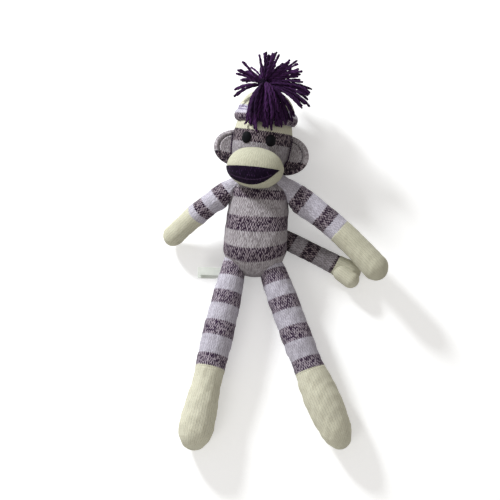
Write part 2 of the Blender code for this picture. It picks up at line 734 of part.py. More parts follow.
def build_label(root):
    """Two flaps of one folded ribbon, opened a little at the free end, sewn in at the right hip."""
    form = leg["right"]
    at = (leg_inset + label_along) / form.length
    middle = Vector(form.spine(at))
    radius = leg_radius * float(smooth_table(form.width_shares, at))
    across = Vector(form.sides(at)[0])
    outward = across if across.x < 0 else -across
    outward.rotate(Matrix.Rotation(math.radians(label_slant), 3, "Z"))
    along = Vector(form.tangent(at))
    height = radius * label_height_share
    edge = middle + outward * math.sqrt(radius ** 2 - height ** 2) + Vector((0, 0, height))
    hip_cutter = add_cutter("hip_right", form.mesh("cut_hip_right", grow=clearance))
    for name, angle in (("label_upper_flap", 0.5), ("label_under_flap", -0.5)):
        tilt = Matrix.Rotation(math.radians(angle * label_opening), 3, along)
        way = tilt @ outward
        if way.z * angle < 0:
            way = tilt.inverted() @ outward
        up = way.cross(along).normalized()
        up = up if up.z > 0 else -up
        shape = bmesh.new()
        bmesh.ops.create_cube(shape, size=1)
        size = (label_length + label_tuck, label_width, label_thickness)
        bmesh.ops.scale(shape, vec=size, verts=shape.verts)
        mesh = bpy.data.meshes.new(name)
        shape.to_mesh(mesh)
        shape.free()
        lift = (label_thickness + clearance) * math.copysign(0.5, angle)
        centre = edge + way * (label_length - label_tuck) / 2 + up * lift
        mesh.transform(Matrix.Translation(centre) @ Matrix((way, up.cross(way), up)).transposed().to_4x4())
        flap = add_object(name, mesh, white, 0.8, edge, root)
        boolean(flap, hip_cutter)


def build_doll():
    body = build_body()
    seam = build_neck(body)
    top = build_head(seam)
    build_face(top)
    build_ears(top)
    build_cap(top)
    build_pompom(top)
    build_arms(body)
    build_legs(body)
    build_tail(body)
    build_label(bpy.data.objects["hip_right"])


build_doll()
pivots = {"neck": neck_middle, "tail": tail_root, "tail lift": tail_lift}
for end in ("left", "right"):
    pivots.update({"shoulder " + end: shoulder[end], "arm swing " + end: arm_swing[end]})
    pivots.update({"hip " + end: hip[end], "leg spread " + end: leg_spread[end]})
for label, place in pivots.items():
    print("pivot", label, [round(v, 5) for v in place])
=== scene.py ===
import json
import math

import bpy
import numpy as np
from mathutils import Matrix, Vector


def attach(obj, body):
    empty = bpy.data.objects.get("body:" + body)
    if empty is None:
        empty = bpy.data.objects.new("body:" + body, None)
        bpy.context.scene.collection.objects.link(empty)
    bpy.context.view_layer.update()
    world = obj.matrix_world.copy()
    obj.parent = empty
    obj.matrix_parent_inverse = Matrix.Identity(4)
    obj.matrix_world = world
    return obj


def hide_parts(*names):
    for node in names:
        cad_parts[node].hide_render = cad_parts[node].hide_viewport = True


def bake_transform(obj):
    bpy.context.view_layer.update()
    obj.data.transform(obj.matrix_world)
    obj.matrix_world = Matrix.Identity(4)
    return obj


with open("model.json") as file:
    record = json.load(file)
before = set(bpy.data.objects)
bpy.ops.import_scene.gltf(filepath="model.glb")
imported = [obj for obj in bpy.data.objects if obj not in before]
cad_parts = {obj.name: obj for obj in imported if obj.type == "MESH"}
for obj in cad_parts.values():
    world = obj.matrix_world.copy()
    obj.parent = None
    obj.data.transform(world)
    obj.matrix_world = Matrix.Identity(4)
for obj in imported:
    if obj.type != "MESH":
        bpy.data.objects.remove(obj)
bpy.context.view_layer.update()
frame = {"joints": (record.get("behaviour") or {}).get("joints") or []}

# A knitted doll: tubes of ribbed knit, stuffed, sewn together and lying on its back. Lengths in metres.
pivot = {joint["name"]: np.array(joint["pos_m"], float) for joint in frame["joints"]}
axis = {joint["name"]: np.array(joint["axis"], float) for joint in frame["joints"]}
dice = np.random.default_rng(11)
scene = bpy.context.scene
stitch = {"wide": 0.0032, "tall": 0.0021}


# Cubic curve through a table's points, level beyond its ends.
def smoothTable(table, at):
    xs, ys = np.array(table, float).T
    slopes = np.gradient(ys, xs)
    at = np.clip(at, xs[0], xs[-1])
    i = np.clip(np.searchsorted(xs, at) - 1, 0, len(xs) - 2)
    step = xs[i + 1] - xs[i]
    u = (at - xs[i]) / step
    return ((1 + 2 * u) * (1 - u) ** 2 * ys[i] + u * (1 - u) ** 2 * step * slopes[i]
            + u ** 2 * (3 - 2 * u) * ys[i + 1] + u ** 2 * (u - 1) * step * slopes[i + 1])


# A vector at length 1.
def unit(v):
    return v / np.maximum(np.linalg.norm(v, axis=-1, keepdims=True), 1e-12)


# Eases from 0 to 1: x squared * (3 - 2x).
def smoothStep(x):
    x = np.clip(x, 0, 1)
    return x * x * (3 - 2 * x)


# 1 at 0, falling away on both sides: exp(-(x / wide) squared).
def bell(x, wide):
    return np.exp(-(x / wide) ** 2)


# Angles evenly round a ring.
def circle(count):
    return np.linspace(0, 2 * np.pi, count, endpoint=False)


# An ellipse: first * wide * cos(turn) + second * deep * sin(turn).
def around(first, second, turn, wide=1.0, deep=None):
    deep = wide if deep is None else deep
    return first * (wide * np.cos(turn))[..., None] + second * (deep * np.sin(turn))[..., None]


# Level direction at a heading in degrees, from +X towards +Y.
def levelWay(heading):
    return np.array((math.cos(math.radians(heading)), math.sin(math.radians(heading)), 0))


# Rows bunch towards rounded ends: at = (1 - cos) / 2.
def rowShares(rows, start=0.002, end=0.998):
    return start + (end - start) * (1 - np.cos(np.linspace(0, np.pi, rows))) / 2


# Stitches of a line: each dash runs over a share of the step from one mark to the next.
def dashes(marks, low, high, points):
    return marks[:-1, None] + np.diff(marks)[:, None] * np.linspace(low, high, points)


# A piece's map: stitches round, count of them to a turn, and rows along.
def stitchMap(turn, count, along, tall=stitch["tall"]):
    return np.stack(np.broadcast_arrays(turn / (2 * np.pi) * count, along / tall), -1)


# No point goes under the floor.
def onFloor(places):
    places[..., 2] = np.maximum(places[..., 2], 0)
    return places


# Slow lumps of the filling: a sum of three waves in space, between about -1 and 1.
def lumps(p, seed=0.0, size=0.03):
    x, y, z = np.moveaxis(p, -1, 0) * (2 * np.pi / size)
    return (np.sin(x + 1.7 * y + seed) + np.sin(1.3 * y - 0.8 * z + 2.1 * seed)
            + np.sin(1.9 * x - 1.1 * y + 1.4 * z + seed)) / 3


# A stuffed form: an ellipse carried along a spine. Its half width and half depth follow tables of
# shares, and a quarter of an ellipse rounds it off at each end.
class Stuffed:
    def __init__(self, spine, half, rounds, wide=((0, 1), (1, 1)), deep=None, back=1.0, front=(0, 0, 1)):
        self.points = np.array(spine, float)
        steps = np.linalg.norm(np.diff(self.points, axis=0), axis=1)
        self.length = steps.sum()
        self.knots = np.concatenate(([0], np.cumsum(steps))) / self.length
        self.half, self.rounds = np.broadcast_to(half, 2), np.broadcast_to(rounds, 2)
        self.wide, self.deep, self.back, self.front = wide, deep or wide, back, np.array(front, float)

    # The spine, which runs straight on before its start.
    def curve(self, at):
        before = np.minimum(at, 0)[..., None] * self.length * unit(self.points[1] - self.points[0])
        return before + np.stack([smoothTable(np.stack([self.knots, c], 1), at) for c in self.points.T], -1)

    # The spine's direction, from two places close to each other.
    def way(self, at):
        return unit(self.curve(np.clip(at + 0.01, 0.02, 1)) - self.curve(np.clip(at - 0.01, 0, 0.98)))

    # Directions square to the spine: across it and to its front.
    def sides(self, at):
        way = self.way(at)
        across = unit(np.cross(way, self.front))
        return across, np.cross(across, way)

    # Half width and half depth = half size * table * quarter ellipses at the ends.
    def radii(self, at, turn):
        start = np.clip(1 - at * self.length / self.rounds[0], 0, 1) if self.rounds[0] else 0
        end = np.clip(1 - (1 - at) * self.length / self.rounds[1], 0, 1)
        taper = np.sqrt(np.clip(1 - start ** 2, 0, 1) * np.clip(1 - end ** 2, 0, 1))
        width = self.half[0] * smoothTable(self.wide, at) * taper
        depth = self.half[1] * smoothTable(self.deep, at) * taper
        return width, depth * np.where(np.sin(turn) < 0, self.back, 1)

    # The skin: an ellipse round the spine, grown by the same amount all round.
    def place(self, at, turn, grow=0.0):
        at, turn = np.broadcast_arrays(at, turn)
        width, depth = self.radii(at, turn)
        across, front = self.sides(at)
        return self.curve(at) + around(across, front, turn, width + grow, depth + grow)

    # Where a point lies in a straight form: how far along, its arm from the spine, and how far out.
    def measure(self, p, lift=0.0):
        line = self.points[-1] - self.points[0]
        at = ((p - self.points[0]) @ line) / (line @ line)
        held = np.clip(at, 0.002, 0.998)
        across, front = self.sides(held)
        d = p - self.curve(held)
        x, y = (d * across).sum(-1), (d * front).sum(-1)
        width, depth = self.radii(held, np.arctan2(y, x))
        out = np.hypot(x / np.maximum(width + lift, 1e-5), y / np.maximum(depth + lift, 1e-5))
        return at, across * x[..., None] + front * y[..., None], out

    # Under 1 inside the form and over 1 outside it.
    def outness(self, p):
        at, _, out = self.measure(p)
        return out + np.maximum(0, np.abs(at - 0.5) - 0.498) * self.length / 0.002

    # Points inside the form move straight out from its spine to its skin and a little further.
    def clear(self, p, lift=0.0003):
        at, arm, out = self.measure(p, lift)
        inside = (out < 1) & (at > 0) & (at < 1)
        return p + arm * np.where(inside, 1 / np.maximum(out, 0.02) - 1, 0)[..., None]


# Where along a form each line round it first meets the test, found by halving.
def meets(form, turn, test, near=0.0, far=0.4):
    near, far = np.full(turn.shape, near), np.full(turn.shape, far)
    for _ in range(20):
        middle = (near + far) / 2
        met = test(form.place(middle, turn))
        far, near = np.where(met, middle, far), np.where(met, near, middle)
    return far


# Makes a mesh from a stack of tubes: places is (tubes, rows, columns, 3). Each end closes on one
# point, inset times the local step inwards; with loop set, the last row joins the first instead.
# uv gives stitches round and rows along; the last column joins the first with wrap added to u.
def tubesMesh(name, places, uv=None, wrap=0.0, tones=None, inset=0.0, loop=0):
    if places.ndim == 3:
        places, uv = places[None], None if uv is None else uv[None]
    tubes, rows, columns = places.shape[:3]
    points = places.reshape(tubes, -1, 3)
    if not loop:
        first, second, fore, last = (places[:, row].mean(1) for row in (0, 1, -2, -1))
        poles = np.stack([first + inset * (second - first), last + inset * (fore - last)], 1)
        points = np.concatenate([points, poles], 1)
    each = points.shape[1]
    i, j = np.indices((rows if loop else rows - 1, columns))
    rowAt = np.stack([i, i, i + 1, i + 1], -1).reshape(-1, 4)
    columnAt = np.stack([j, j + 1, j + 1, j], -1).reshape(-1, 4)
    quads = (rowAt % rows) * columns + columnAt % columns
    a = np.arange(0 if loop else columns)
    fanRow = np.repeat([[0] * 3, [rows - 1] * 3], len(a), 0)
    fanColumn = np.vstack([np.stack([a + 1, a, a], 1), np.stack([a, a + 1, a], 1)])
    fans = fanRow * columns + fanColumn % columns
    fans[:len(a), 2], fans[len(a):, 2] = rows * columns, rows * columns + 1
    # the signed volume tells which way the faces look
    triangles = points[0][np.concatenate([quads[:, :3], quads[:, [0, 2, 3]], fans])]
    if (np.cross(triangles[:, 0], triangles[:, 1]) * triangles[:, 2]).sum() < 0:
        quads, rowAt, columnAt, fans, fanRow, fanColumn = (
            face[:, ::-1] for face in (quads, rowAt, columnAt, fans, fanRow, fanColumn))
    offset = np.arange(tubes)[:, None, None] * each
    allQuads, allFans = (quads[None] + offset).reshape(-1, 4), (fans[None] + offset).reshape(-1, 3)
    mesh = bpy.data.meshes.new(name)
    mesh.vertices.add(tubes * each)
    mesh.vertices.foreach_set("co", points.astype(np.float32).ravel())
    mesh.loops.add(allQuads.size + allFans.size)
    mesh.loops.foreach_set("vertex_index", np.concatenate([allQuads.ravel(), allFans.ravel()]).astype(np.int32))
    mesh.polygons.add(len(allQuads) + len(allFans))
    starts = np.concatenate([np.arange(len(allQuads)) * 4, allQuads.size + np.arange(len(allFans)) * 3])
    mesh.polygons.foreach_set("loop_start", starts.astype(np.int32))
    mesh.polygons.foreach_set("use_smooth", np.ones(len(starts), bool))
    mesh.update(calc_edges=True)
    if uv is not None:
        wide = np.concatenate([uv, uv[:, :, :1] + np.array([wrap, 0.0])], 2)
        wide = np.concatenate([wide, wide[:, :1] + np.array([0.0, loop])], 1)
        flat = np.concatenate([wide[:, rowAt, columnAt].reshape(-1, 2), wide[:, fanRow, fanColumn].reshape(-1, 2)])
        mesh.uv_layers.new(name="stitches").data.foreach_set("uv", flat.astype(np.float32).ravel())
    if tones is not None:
        layer = mesh.attributes.new("tone", "FLOAT", "POINT")
        layer.data.foreach_set("value", np.repeat(np.broadcast_to(tones, tubes), each).astype(np.float32))
    mesh.validate()
    return mesh


# Yarn along many paths at once: paths is (tubes, steps, 3). Its section has two plies that wind
# round each other: radius * (1 + ply * cos(2 * (turn - pi * length / pitch))).
def yarnMesh(name, paths, radius, columns, ply, pitch, side=None, ends=0.6, tones=1.0):
    steps = np.linalg.norm(np.diff(paths, axis=1), axis=-1)
    along = np.concatenate([np.zeros((len(paths), 1)), np.cumsum(steps, 1)], 1)
    way = unit(np.gradient(paths, axis=1))
    if side is None:
        side = np.cross(way, np.broadcast_to(np.array([0.31, 0.17, 0.93]), way.shape))
    side = unit(side - way * (side * way).sum(-1, keepdims=True))
    turn = circle(columns)
    thick = np.broadcast_to(radius, paths.shape[:2]).copy()
    thick[:, [0, -1]] *= ends
    r = thick[..., None] * (1 + ply * np.cos(2 * (turn - np.pi * along[..., None] / pitch)))
    places = paths[:, :, None] + around(side[:, :, None], np.cross(way, side)[:, :, None], turn, r)
    return tubesMesh(name, places, stitchMap(turn, 2, along[..., None], pitch), 2.0, tones)


# Makes a mesh a piece. Its body is one name, which it is attached to; given two bodies and the places where a bend
# would start and end, it is only fixed where it stands.
def addPiece(mesh, material, body, nodes=()):
    piece = bpy.data.objects.new(mesh.name, mesh)
    scene.collection.objects.link(piece)
    mesh.materials.append(material)
    if isinstance(body, str):
        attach(piece, body)
    else:
        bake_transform(piece)
    if nodes:
        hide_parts(*nodes)
    return piece


filling = {"row": 0.0045, "column": 0.0055, "grown": 10, "steps": 20}
clothLook = {"quality": 5, "mass": 0.05, "tension_stiffness": 3, "compression_stiffness": 3, "shear_stiffness": 1,
             "bending_stiffness": 0.02, "use_pressure": True, "uniform_pressure_force": 4, "vertex_group_mass": "sewn"}


# Cloth on a coarse grid: the filling presses the knit out while so many rings at its start and end
# stay sewn. It is worked out on a grown copy. Gives how far each grid point moved, eased so that
# none goes beyond the limit: shift * tanh(size / limit) / (size / limit).
def puff(places, sewn, limit):
    rows, columns = places.shape[:2]
    piece = bpy.data.objects.new("puffing", tubesMesh("puffing", places * filling["grown"]))
    scene.collection.objects.link(piece)
    held = [*range(sewn[0] * columns), *range((rows - sewn[1]) * columns, rows * columns + 2)]
    piece.vertex_groups.new(name="sewn").add(held, 1.0, "REPLACE")
    cloth = piece.modifiers.new("cloth", "CLOTH")
    for key, value in clothLook.items():
        setattr(cloth.settings, key, value)
    cloth.settings.effector_weights.gravity = 0
    cloth.point_cache.frame_end = filling["steps"] + 4
    for step in range(filling["steps"]):
        scene.frame_set(step + 1)
    puffed = piece.evaluated_get(bpy.context.evaluated_depsgraph_get()).to_mesh()
    after = np.empty(len(puffed.vertices) * 3, np.float32)
    puffed.vertices.foreach_get("co", after)
    scene.frame_set(1)
    bpy.data.objects.remove(piece)
    after = after.reshape(-1, 3)[:rows * columns].reshape(rows, columns, 3).astype(float)
    shift = after / filling["grown"] - places
    size = np.linalg.norm(shift, axis=-1, keepdims=True)
    return shift * np.tanh(size / limit) / np.maximum(size / limit, 1e-9)


# Reads a coarse grid of shifts at fine places: by its waves round the ring, straight along it.
def finer(shift, share, columns):
    rows = shift.shape[0]
    waves = np.fft.rfft(shift, axis=1)
    fine = np.zeros((rows, columns // 2 + 1, 3), complex)
    fine[:, :waves.shape[1] - 1] = waves[:, :-1]
    wide = np.fft.irfft(fine, n=columns, axis=1) * (columns / shift.shape[1])
    at = np.clip(share, 0, 1) * (rows - 1)
    low = np.minimum(at.astype(int), rows - 2)
    part = (at - low)[..., None]
    column = np.arange(columns)[None]
    return wide[low, column] * (1 - part) + wide[low + 1, column] * part


print("tools ready")


# Materials
# What a shader node gives. Sums with it add maths nodes.
class Wire:
    def __init__(self, made, output=0):
        self.socket = made.outputs[output]
        self.tree = self.socket.id_data

    def maths(self, operation, *others):
        return Wire(node(self.tree, "ShaderNodeMath", dict(enumerate((self, *others))), operation=operation))

    def __add__(self, other):
        return self.maths("ADD", other)

    def __sub__(self, other):
        return self.maths("SUBTRACT", other)

    def __mul__(self, other):
        return self.maths("MULTIPLY", other)

    # The part of it past the last whole number, as a hump: sin(pi * part).
    def hump(self):
        return (self.maths("FRACT") * math.pi).maths("SINE")


# Gives an input a number, a colour or a wire.
def feed(socket, value):
    if isinstance(value, Wire):
        value.tree.links.new(value.socket, socket)
    else:
        socket.default_value = (*value, 1) if isinstance(value, tuple) else value


# A new node with its settings and its inputs.
def node(tree, kind, inputs=None, **settings):
    made = tree.nodes.new(kind)
    for key, value in settings.items():
        setattr(made, key, value)
    for key, value in (inputs or {}).items():
        feed(made.inputs[key], value)
    return made


# A material and its shader, with what doesn't vary over it set on the shader's own sockets.
def blank(name, roughness, specular, sheen=0.0):
    material = bpy.data.materials.new(name)
    material.use_nodes = True
    shader = material.node_tree.nodes["Principled BSDF"]
    for key, value in (("Roughness", roughness), ("Specular IOR Level", specular), ("Sheen Weight", sheen),
                       ("Sheen Roughness", 0.6)):
        feed(shader.inputs[key], value)
    return material, material.node_tree, shader


# Noise between 0 and 1, read at a vector.
def noise(tree, vector, scale, detail=2.0):
    return Wire(node(tree, "ShaderNodeTexNoise", {"Scale": scale, "Detail": detail, "Vector": vector}))


# Noise over the object itself, with so many waves to a metre.
def grain(tree, scale):
    return noise(tree, Wire(node(tree, "ShaderNodeTexCoord"), "Object"), scale)


def joined(x, y):
    return Wire(node(x.tree, "ShaderNodeCombineXYZ", {0: x, 1: y}))


# The piece's own map: stitches round and rows along.
def stitchPlace(tree):
    split = node(tree, "ShaderNodeSeparateXYZ", {0: Wire(node(tree, "ShaderNodeUVMap", uv_map="stitches"))})
    return Wire(split, 0), Wire(split, 1)


# first * (1 - factor) + second * factor
def mixed(factor, first, second):
    return Wire(node(factor.tree, "ShaderNodeMix", {0: factor, 6: first, 7: second}, data_type="RGBA"), 2)


# Colour and relief; the relief is so deep in metres where the height goes from 0 to 1.
def surface(shader, colour, height, depth, strength=0.8):
    feed(shader.inputs["Base Color"], colour)
    bump = node(height.tree, "ShaderNodeBump", {"Strength": strength, "Distance": depth, "Height": height})
    feed(shader.inputs["Normal"], Wire(bump))


# Knit: each stitch is a V of two slanting legs. Leg = half a stitch round; phase = rows along plus a
# slant that is highest at the stitch's edges. Height = bulge across the leg * bulge along it, and the
# column of stitches itself bulges. The yarn's two plies take turns: chance = 0.5 + part of
# cos(leg and row turned on by steps) + part of a random number for each leg. Fibres are noise drawn
# out along the leg.
stitchForm = {"slant": 0.8, "across": 0.6, "along": 0.45, "column": 0.5, "columnShare": 0.4, "rowTurn": 1.95,
              "plies": 0.27, "random": 0.62, "fibreAcross": 4.0, "fibreAlong": 2.2, "fibreScale": 1.6}


def makeKnit():
    tree = bpy.data.node_groups.new("knit stitches", "ShaderNodeTree")
    u, v = stitchPlace(tree)
    double = u * 2.0
    phase = v + (u.maths("FRACT") * 2.0 - 1.0).maths("ABSOLUTE") * stitchForm["slant"]
    leg, row = double.maths("FLOOR"), phase.maths("FLOOR")
    bulge = double.hump().maths("POWER", stitchForm["across"]) * phase.hump().maths("POWER", stitchForm["along"])
    column = u.hump().maths("POWER", stitchForm["column"])
    height = bulge * (1 - stitchForm["columnShare"]) + column * stitchForm["columnShare"]
    plies = (leg * math.pi + row * stitchForm["rowTurn"]).maths("COSINE") * stitchForm["plies"]
    white = Wire(node(tree, "ShaderNodeTexWhiteNoise", {"Vector": joined(leg, row)}, noise_dimensions="2D"), "Value")
    chance = plies + (white - 0.5) * stitchForm["random"] + 0.5
    drawn = joined(double * stitchForm["fibreAcross"], phase * stitchForm["fibreAlong"])
    fibre = noise(tree, drawn, stitchForm["fibreScale"], 3.0)
    given = {"height": height, "chance": chance, "row": row, "fibre": fibre}
    for name in given:
        tree.interface.new_socket(name, in_out="OUTPUT", socket_type="NodeSocketFloat")
    node(tree, "NodeGroupOutput", given)
    return tree


knit = makeKnit()

# Each yarn: its lighter thread, its darker thread, and the share of stitches that show the darker one. Some are darker
# copies of the pale yarn, the marl and the cream, with painted shade in their colour.
yarns = {"pale": ((0.62, 0.592, 0.67), (0.44, 0.412, 0.48), 0.45),
         # the pale yarn darkened and warmed: painted shade
         "stone": ((0.49, 0.455, 0.48), (0.27, 0.24, 0.255), 0.5),
         # the pale yarn darkened further: deeper painted shade
         "ash": ((0.39, 0.362, 0.392), (0.215, 0.192, 0.205), 0.5),
         "marl": ((0.43, 0.37, 0.425), (0.04, 0.02, 0.05), 0.52),
         # the marl darkened: painted shade
         "umber": ((0.345, 0.29, 0.325), (0.026, 0.012, 0.03), 0.57),
         # the marl darkened further: deeper painted shade
         "soot": ((0.26, 0.212, 0.225), (0.018, 0.009, 0.02), 0.6),
         "cream": ((0.74, 0.72, 0.575), (0.68, 0.655, 0.51), 0.35),
         "flax": ((0.64, 0.62, 0.485), (0.58, 0.56, 0.43), 0.35),
         # the cream darkened: painted shade
         "butter": ((0.56, 0.548, 0.425), (0.49, 0.478, 0.36), 0.4),
         "dusk": ((0.3, 0.255, 0.4), (0.17, 0.12, 0.24), 0.45),
         "mouth": ((0.038, 0.016, 0.055), (0.007, 0.002, 0.012), 0.86)}


# Bands are ((where it starts along the piece, yarn), ...); the table of bands reaches over a length.
# A stitch is dark where its chance, frayed by the fibres, is under the yarn's share. The colour is darker in the gaps
# between stitches and lighter on their tops by the stitch's height, which is painted shade, and handling shifts the
# tone over a few centimetres.
knitLook = {"length": 0.3, "fray": 0.7, "blur": 0.08, "gap": 0.6, "top": 0.5, "wornScale": 38.0, "worn": 0.18,
            "fibreRelief": 0.35}


def knitMaterial(name, bands, depth=0.0007):
    material, tree, shader = blank(name, 0.95, 0.06, 0.03)
    group = node(tree, "ShaderNodeGroup", node_tree=knit)
    height, chance, row, fibre = (Wire(group, key) for key in ("height", "chance", "row", "fibre"))
    at = (row + 0.5).maths("DIVIDE", knitLook["length"] / stitch["tall"])
    ramps = []
    for which in range(3):
        ramp = node(tree, "ShaderNodeValToRGB", {0: at})
        ramp.color_ramp.interpolation = "CONSTANT"
        stops = ramp.color_ramp.elements
        stops.remove(stops[1])
        for index, (start, yarn) in enumerate(bands):
            value = yarns[yarn][which]
            stop = stops.new(min(start / knitLook["length"], 1)) if index else stops[0]
            stop.color = (*value, 1) if which < 2 else (value, value, value, 1)
        ramps.append(Wire(ramp))
    over = chance + (fibre - 0.5) * knitLook["fray"] - ramps[2]
    dark = Wire(node(tree, "ShaderNodeMapRange", {"Value": over, "From Min": -knitLook["blur"],
                                                  "From Max": knitLook["blur"], "To Min": 1.0, "To Max": 0.0}))
    worn = grain(tree, knitLook["wornScale"]) * knitLook["worn"] + (1 - knitLook["worn"] / 2)
    # painted shade: darker in the gaps between stitches and lighter on their tops, times the random tone from handling
    gapShadeAndWear = (height * knitLook["top"] + knitLook["gap"]) * worn
    colour = node(tree, "ShaderNodeVectorMath", {0: mixed(dark, ramps[0], ramps[1]), "Scale": gapShadeAndWear}, operation="SCALE")
    surface(shader, Wire(colour), height + fibre * knitLook["fibreRelief"], depth)
    return material


# Plied yarn: painted shade darkens the grooves where its two plies meet, and each strand has a tone of its own.
def yarnMaterial(name, light, dark):
    material, tree, shader = blank(name, 0.9, 0.06, 0.02)
    u, v = stitchPlace(tree)
    ply = ((u - v) * math.pi).maths("COSINE").maths("ABSOLUTE")
    fibre = noise(tree, joined(u * 9.0, v * 5.0 + u * 4.0), 1.0, 3.0)
    tone = Wire(node(tree, "ShaderNodeAttribute", attribute_name="tone"), "Fac")
    # painted shade: the colour darkens in the grooves where the plies meet
    surface(shader, mixed((ply + fibre) * 0.55 * tone, dark, light), ply + fibre, 0.0004)
    return material


# Moulded eye: near black, with a faint grain from the mould.
def eyeMaterial():
    material, tree, shader = blank("black eye", 0.6, 0.04)
    mould = grain(tree, 900.0)
    surface(shader, mixed(mould, (0.003, 0.003, 0.004), (0.008, 0.008, 0.01)), mould, 0.00012, 0.5)
    return material


# Satin ribbon: fine ribs across it and a faint yellowing.
def satinMaterial():
    material, tree, shader = blank("label satin", 0.45, 0.4)
    rib = (stitchPlace(tree)[1] * (2 * math.pi)).maths("SINE")
    surface(shader, mixed(grain(tree, 160.0), (0.66, 0.7, 0.64), (0.8, 0.82, 0.77)), rib, 0.00006, 0.6)
    return material


purpleYarn = yarnMaterial("purple yarn", (0.095, 0.027, 0.13), (0.006, 0.002, 0.01))
darkThread = yarnMaterial("dark thread", (0.06, 0.03, 0.075), (0.012, 0.006, 0.016))
greyThread = yarnMaterial("grey thread", (0.075, 0.06, 0.08), (0.025, 0.018, 0.028))
print("materials ready")

# Body: straight spine from the neck to the seat, fuller low down
body = {"top": (0.0079, 0.09032, 0.04242), "length": 0.134, "lean": 5.0, "tilt": 7.0, "half": (0.0446, 0.032),
        "rounds": (0.02, 0.042), "lumps": 0.0006, "puff": 0.0012, "start": 0.0008, "seed": 1.0, "grid": (150, 200),
        "wide": ((0, 0.98), (0.12, 0.96), (0.3, 0.965), (0.6, 1.0), (0.8, 0.99), (1, 0.9)),
        "deep": ((0, 0.62), (0.12, 0.7), (0.3, 0.86), (0.6, 1.0), (0.8, 0.97), (1, 0.85)),
        "sag": ((0, 0.003), (0.025, 0.0045), (0.05, 0.006), (0.07, 0.0068), (0.09, 0.0116), (0.134, 0.016)),
        "slant": ((0, 0), (0.025, 0), (0.05, 0.0015), (0.07, 0.0018), (0.09, 0.0034), (0.134, 0.003)),
        "sagBehind": 0.35,
        # the stripes are the pale yarn and the marl darkened: painted shade over the whole body
        "bands": ((0, "stone"), (0.012, "umber"), (0.0256, "stone"), (0.0478, "umber"), (0.0668, "stone"),
                  (0.0825, "umber"), (0.1004, "stone"))}
lean, tilt = math.radians(90 - body["lean"]), math.radians(body["tilt"])
bodyWay = -np.array((math.cos(lean) * math.cos(tilt), math.sin(lean) * math.cos(tilt), math.sin(tilt)))
torso = Stuffed((body["top"], np.array(body["top"]) + bodyWay * body["length"]), body["half"], body["rounds"],
                body["wide"], body["deep"])


def outOfBody(p):
    return torso.outness(p) > 1


# Knitted skin of a whole form: its places, its stitches and how many of them go round.
def skin(form, values, droop=None):
    rows, columns = values["grid"]
    turn = circle(columns)
    coarseAt = rowShares(max(12, round(form.length / filling["row"])))[:, None]
    coarseTurn = circle(max(24, 2 * round(np.pi * form.half[0] / filling["column"])))
    shift = puff(form.place(coarseAt, coarseTurn, -values["start"]), (2, 2), values["puff"])
    at = rowShares(rows)
    places = form.place(at[:, None], turn, -values["start"])
    places = places + finer(shift, np.linspace(0, 1, rows)[:, None] + 0 * turn, columns)
    outward = unit(places - form.curve(at)[:, None])
    places = places + outward * (lumps(places, values["seed"]) * values["lumps"])[..., None]
    count = round(2 * np.pi * math.sqrt((form.half[0] ** 2 + form.half[1] ** 2) / 2) / stitch["wide"])
    along = at[:, None] * form.length + 0 * turn
    if droop:
        along = along - droop(along, turn)
    return places, stitchMap(turn, count, along), count


# The rows sag over the belly: sag(along) * sin(turn), and slant a little to one side.
def bodyDroop(along, turn):
    sag = smoothTable(body["sag"], along) * np.where(np.sin(turn) > 0, 1, body["sagBehind"])
    return sag * np.sin(turn) + smoothTable(body["slant"], along) * np.cos(turn)


places, uv, count = skin(torso, body, bodyDroop)
addPiece(tubesMesh("torso_knit", onFloor(places), uv, count), knitMaterial("body knit", body["bands"]), "body",
         ["torso"])
print("body done")

# Head: its three directions are the neck's and the ears' axes
across, out, up = axis["neck_nod"], axis["neck_tilt"], axis["ear_left_bend"]
headValues = {"below": 0.041, "above": 0.056, "earDrop": 0.0058, "half": (0.04, 0.0385), "rounds": (0.034, 0.036),
              "wide": ((0, 0.9), (0.3, 0.97), (0.55, 1.0), (0.8, 0.99), (1, 0.94)), "lumps": 0.0005,
              "puff": 0.001, "start": 0.0008, "seed": 2.0, "grid": (130, 190), "slant": 0.0009,
              # the head's stripes are the pale yarn and the marl darkened further: painted shade
              "bands": ((0, "ash"), (0.0455, "soot"), (0.0632, "flax"))}
headMiddle = (pivot["ear_left_bend"] + pivot["ear_right_bend"]) / 2 + up * headValues["earDrop"]


# x to the doll's left, y up and z forward, by the head's own directions.
def headWay(x, y, z):
    x, y, z = (np.asarray(c)[..., None] for c in (x, y, z))
    return x * across + y * up + z * out


def onHead(x, y, z):
    return headMiddle + headWay(x, y, z)


head = Stuffed((onHead(0, -headValues["below"], 0), onHead(0, headValues["above"], 0)), headValues["half"],
               headValues["rounds"], headValues["wide"], front=out)
places, uv, count = skin(head, headValues, lambda along, turn: headValues["slant"] * np.cos(turn))
addPiece(tubesMesh("head_knit", onFloor(places), uv, count), knitMaterial("head knit", headValues["bands"]), "head",
         ["head"])


# Half width and half depth of the head at a height above its middle.
def headSides(y):
    return head.radii((y + headValues["below"]) / head.length, np.array(0.0))


# Neck: gathered cloth between body and head, in three stretches
neck = {"length": 0.03, "radius": 0.0236, "cuts": (1 / 3, 2 / 3), "low": (0.02, 0.3), "high": (0.7, 0.98),
        "pleats": 26, "pleatDepth": 0.0006, "pleatWide": 0.2, "pinch": 0.0012, "pinchWide": 0.12, "stitches": 46,
        "grid": (12, 160), "ring": 0.0252, "thread": 0.00055, "wraps": 46, "wrap": (0.0008, 0.0016), "skirt": 0.17,
        "skirtLift": 0.0006, "skirtWide": 1.6}
neckWay = -axis["neck_turn"]
neckMiddle = pivot["neck_turn"]
neckForm = Stuffed((neckMiddle - neckWay * neck["length"] / 2, neckMiddle + neckWay * neck["length"] / 2),
                   neck["radius"], neck["length"] / 4, front=out)
turn = circle(neck["grid"][1])
low = np.clip(meets(neckForm, turn, outOfBody), *neck["low"])
high = np.clip(meets(neckForm, turn, lambda p: head.outness(p) < 1, 0.5, 1.0), *neck["high"])
cuts = (low, 0 * turn + neck["cuts"][0], 0 * turn + neck["cuts"][1], high)
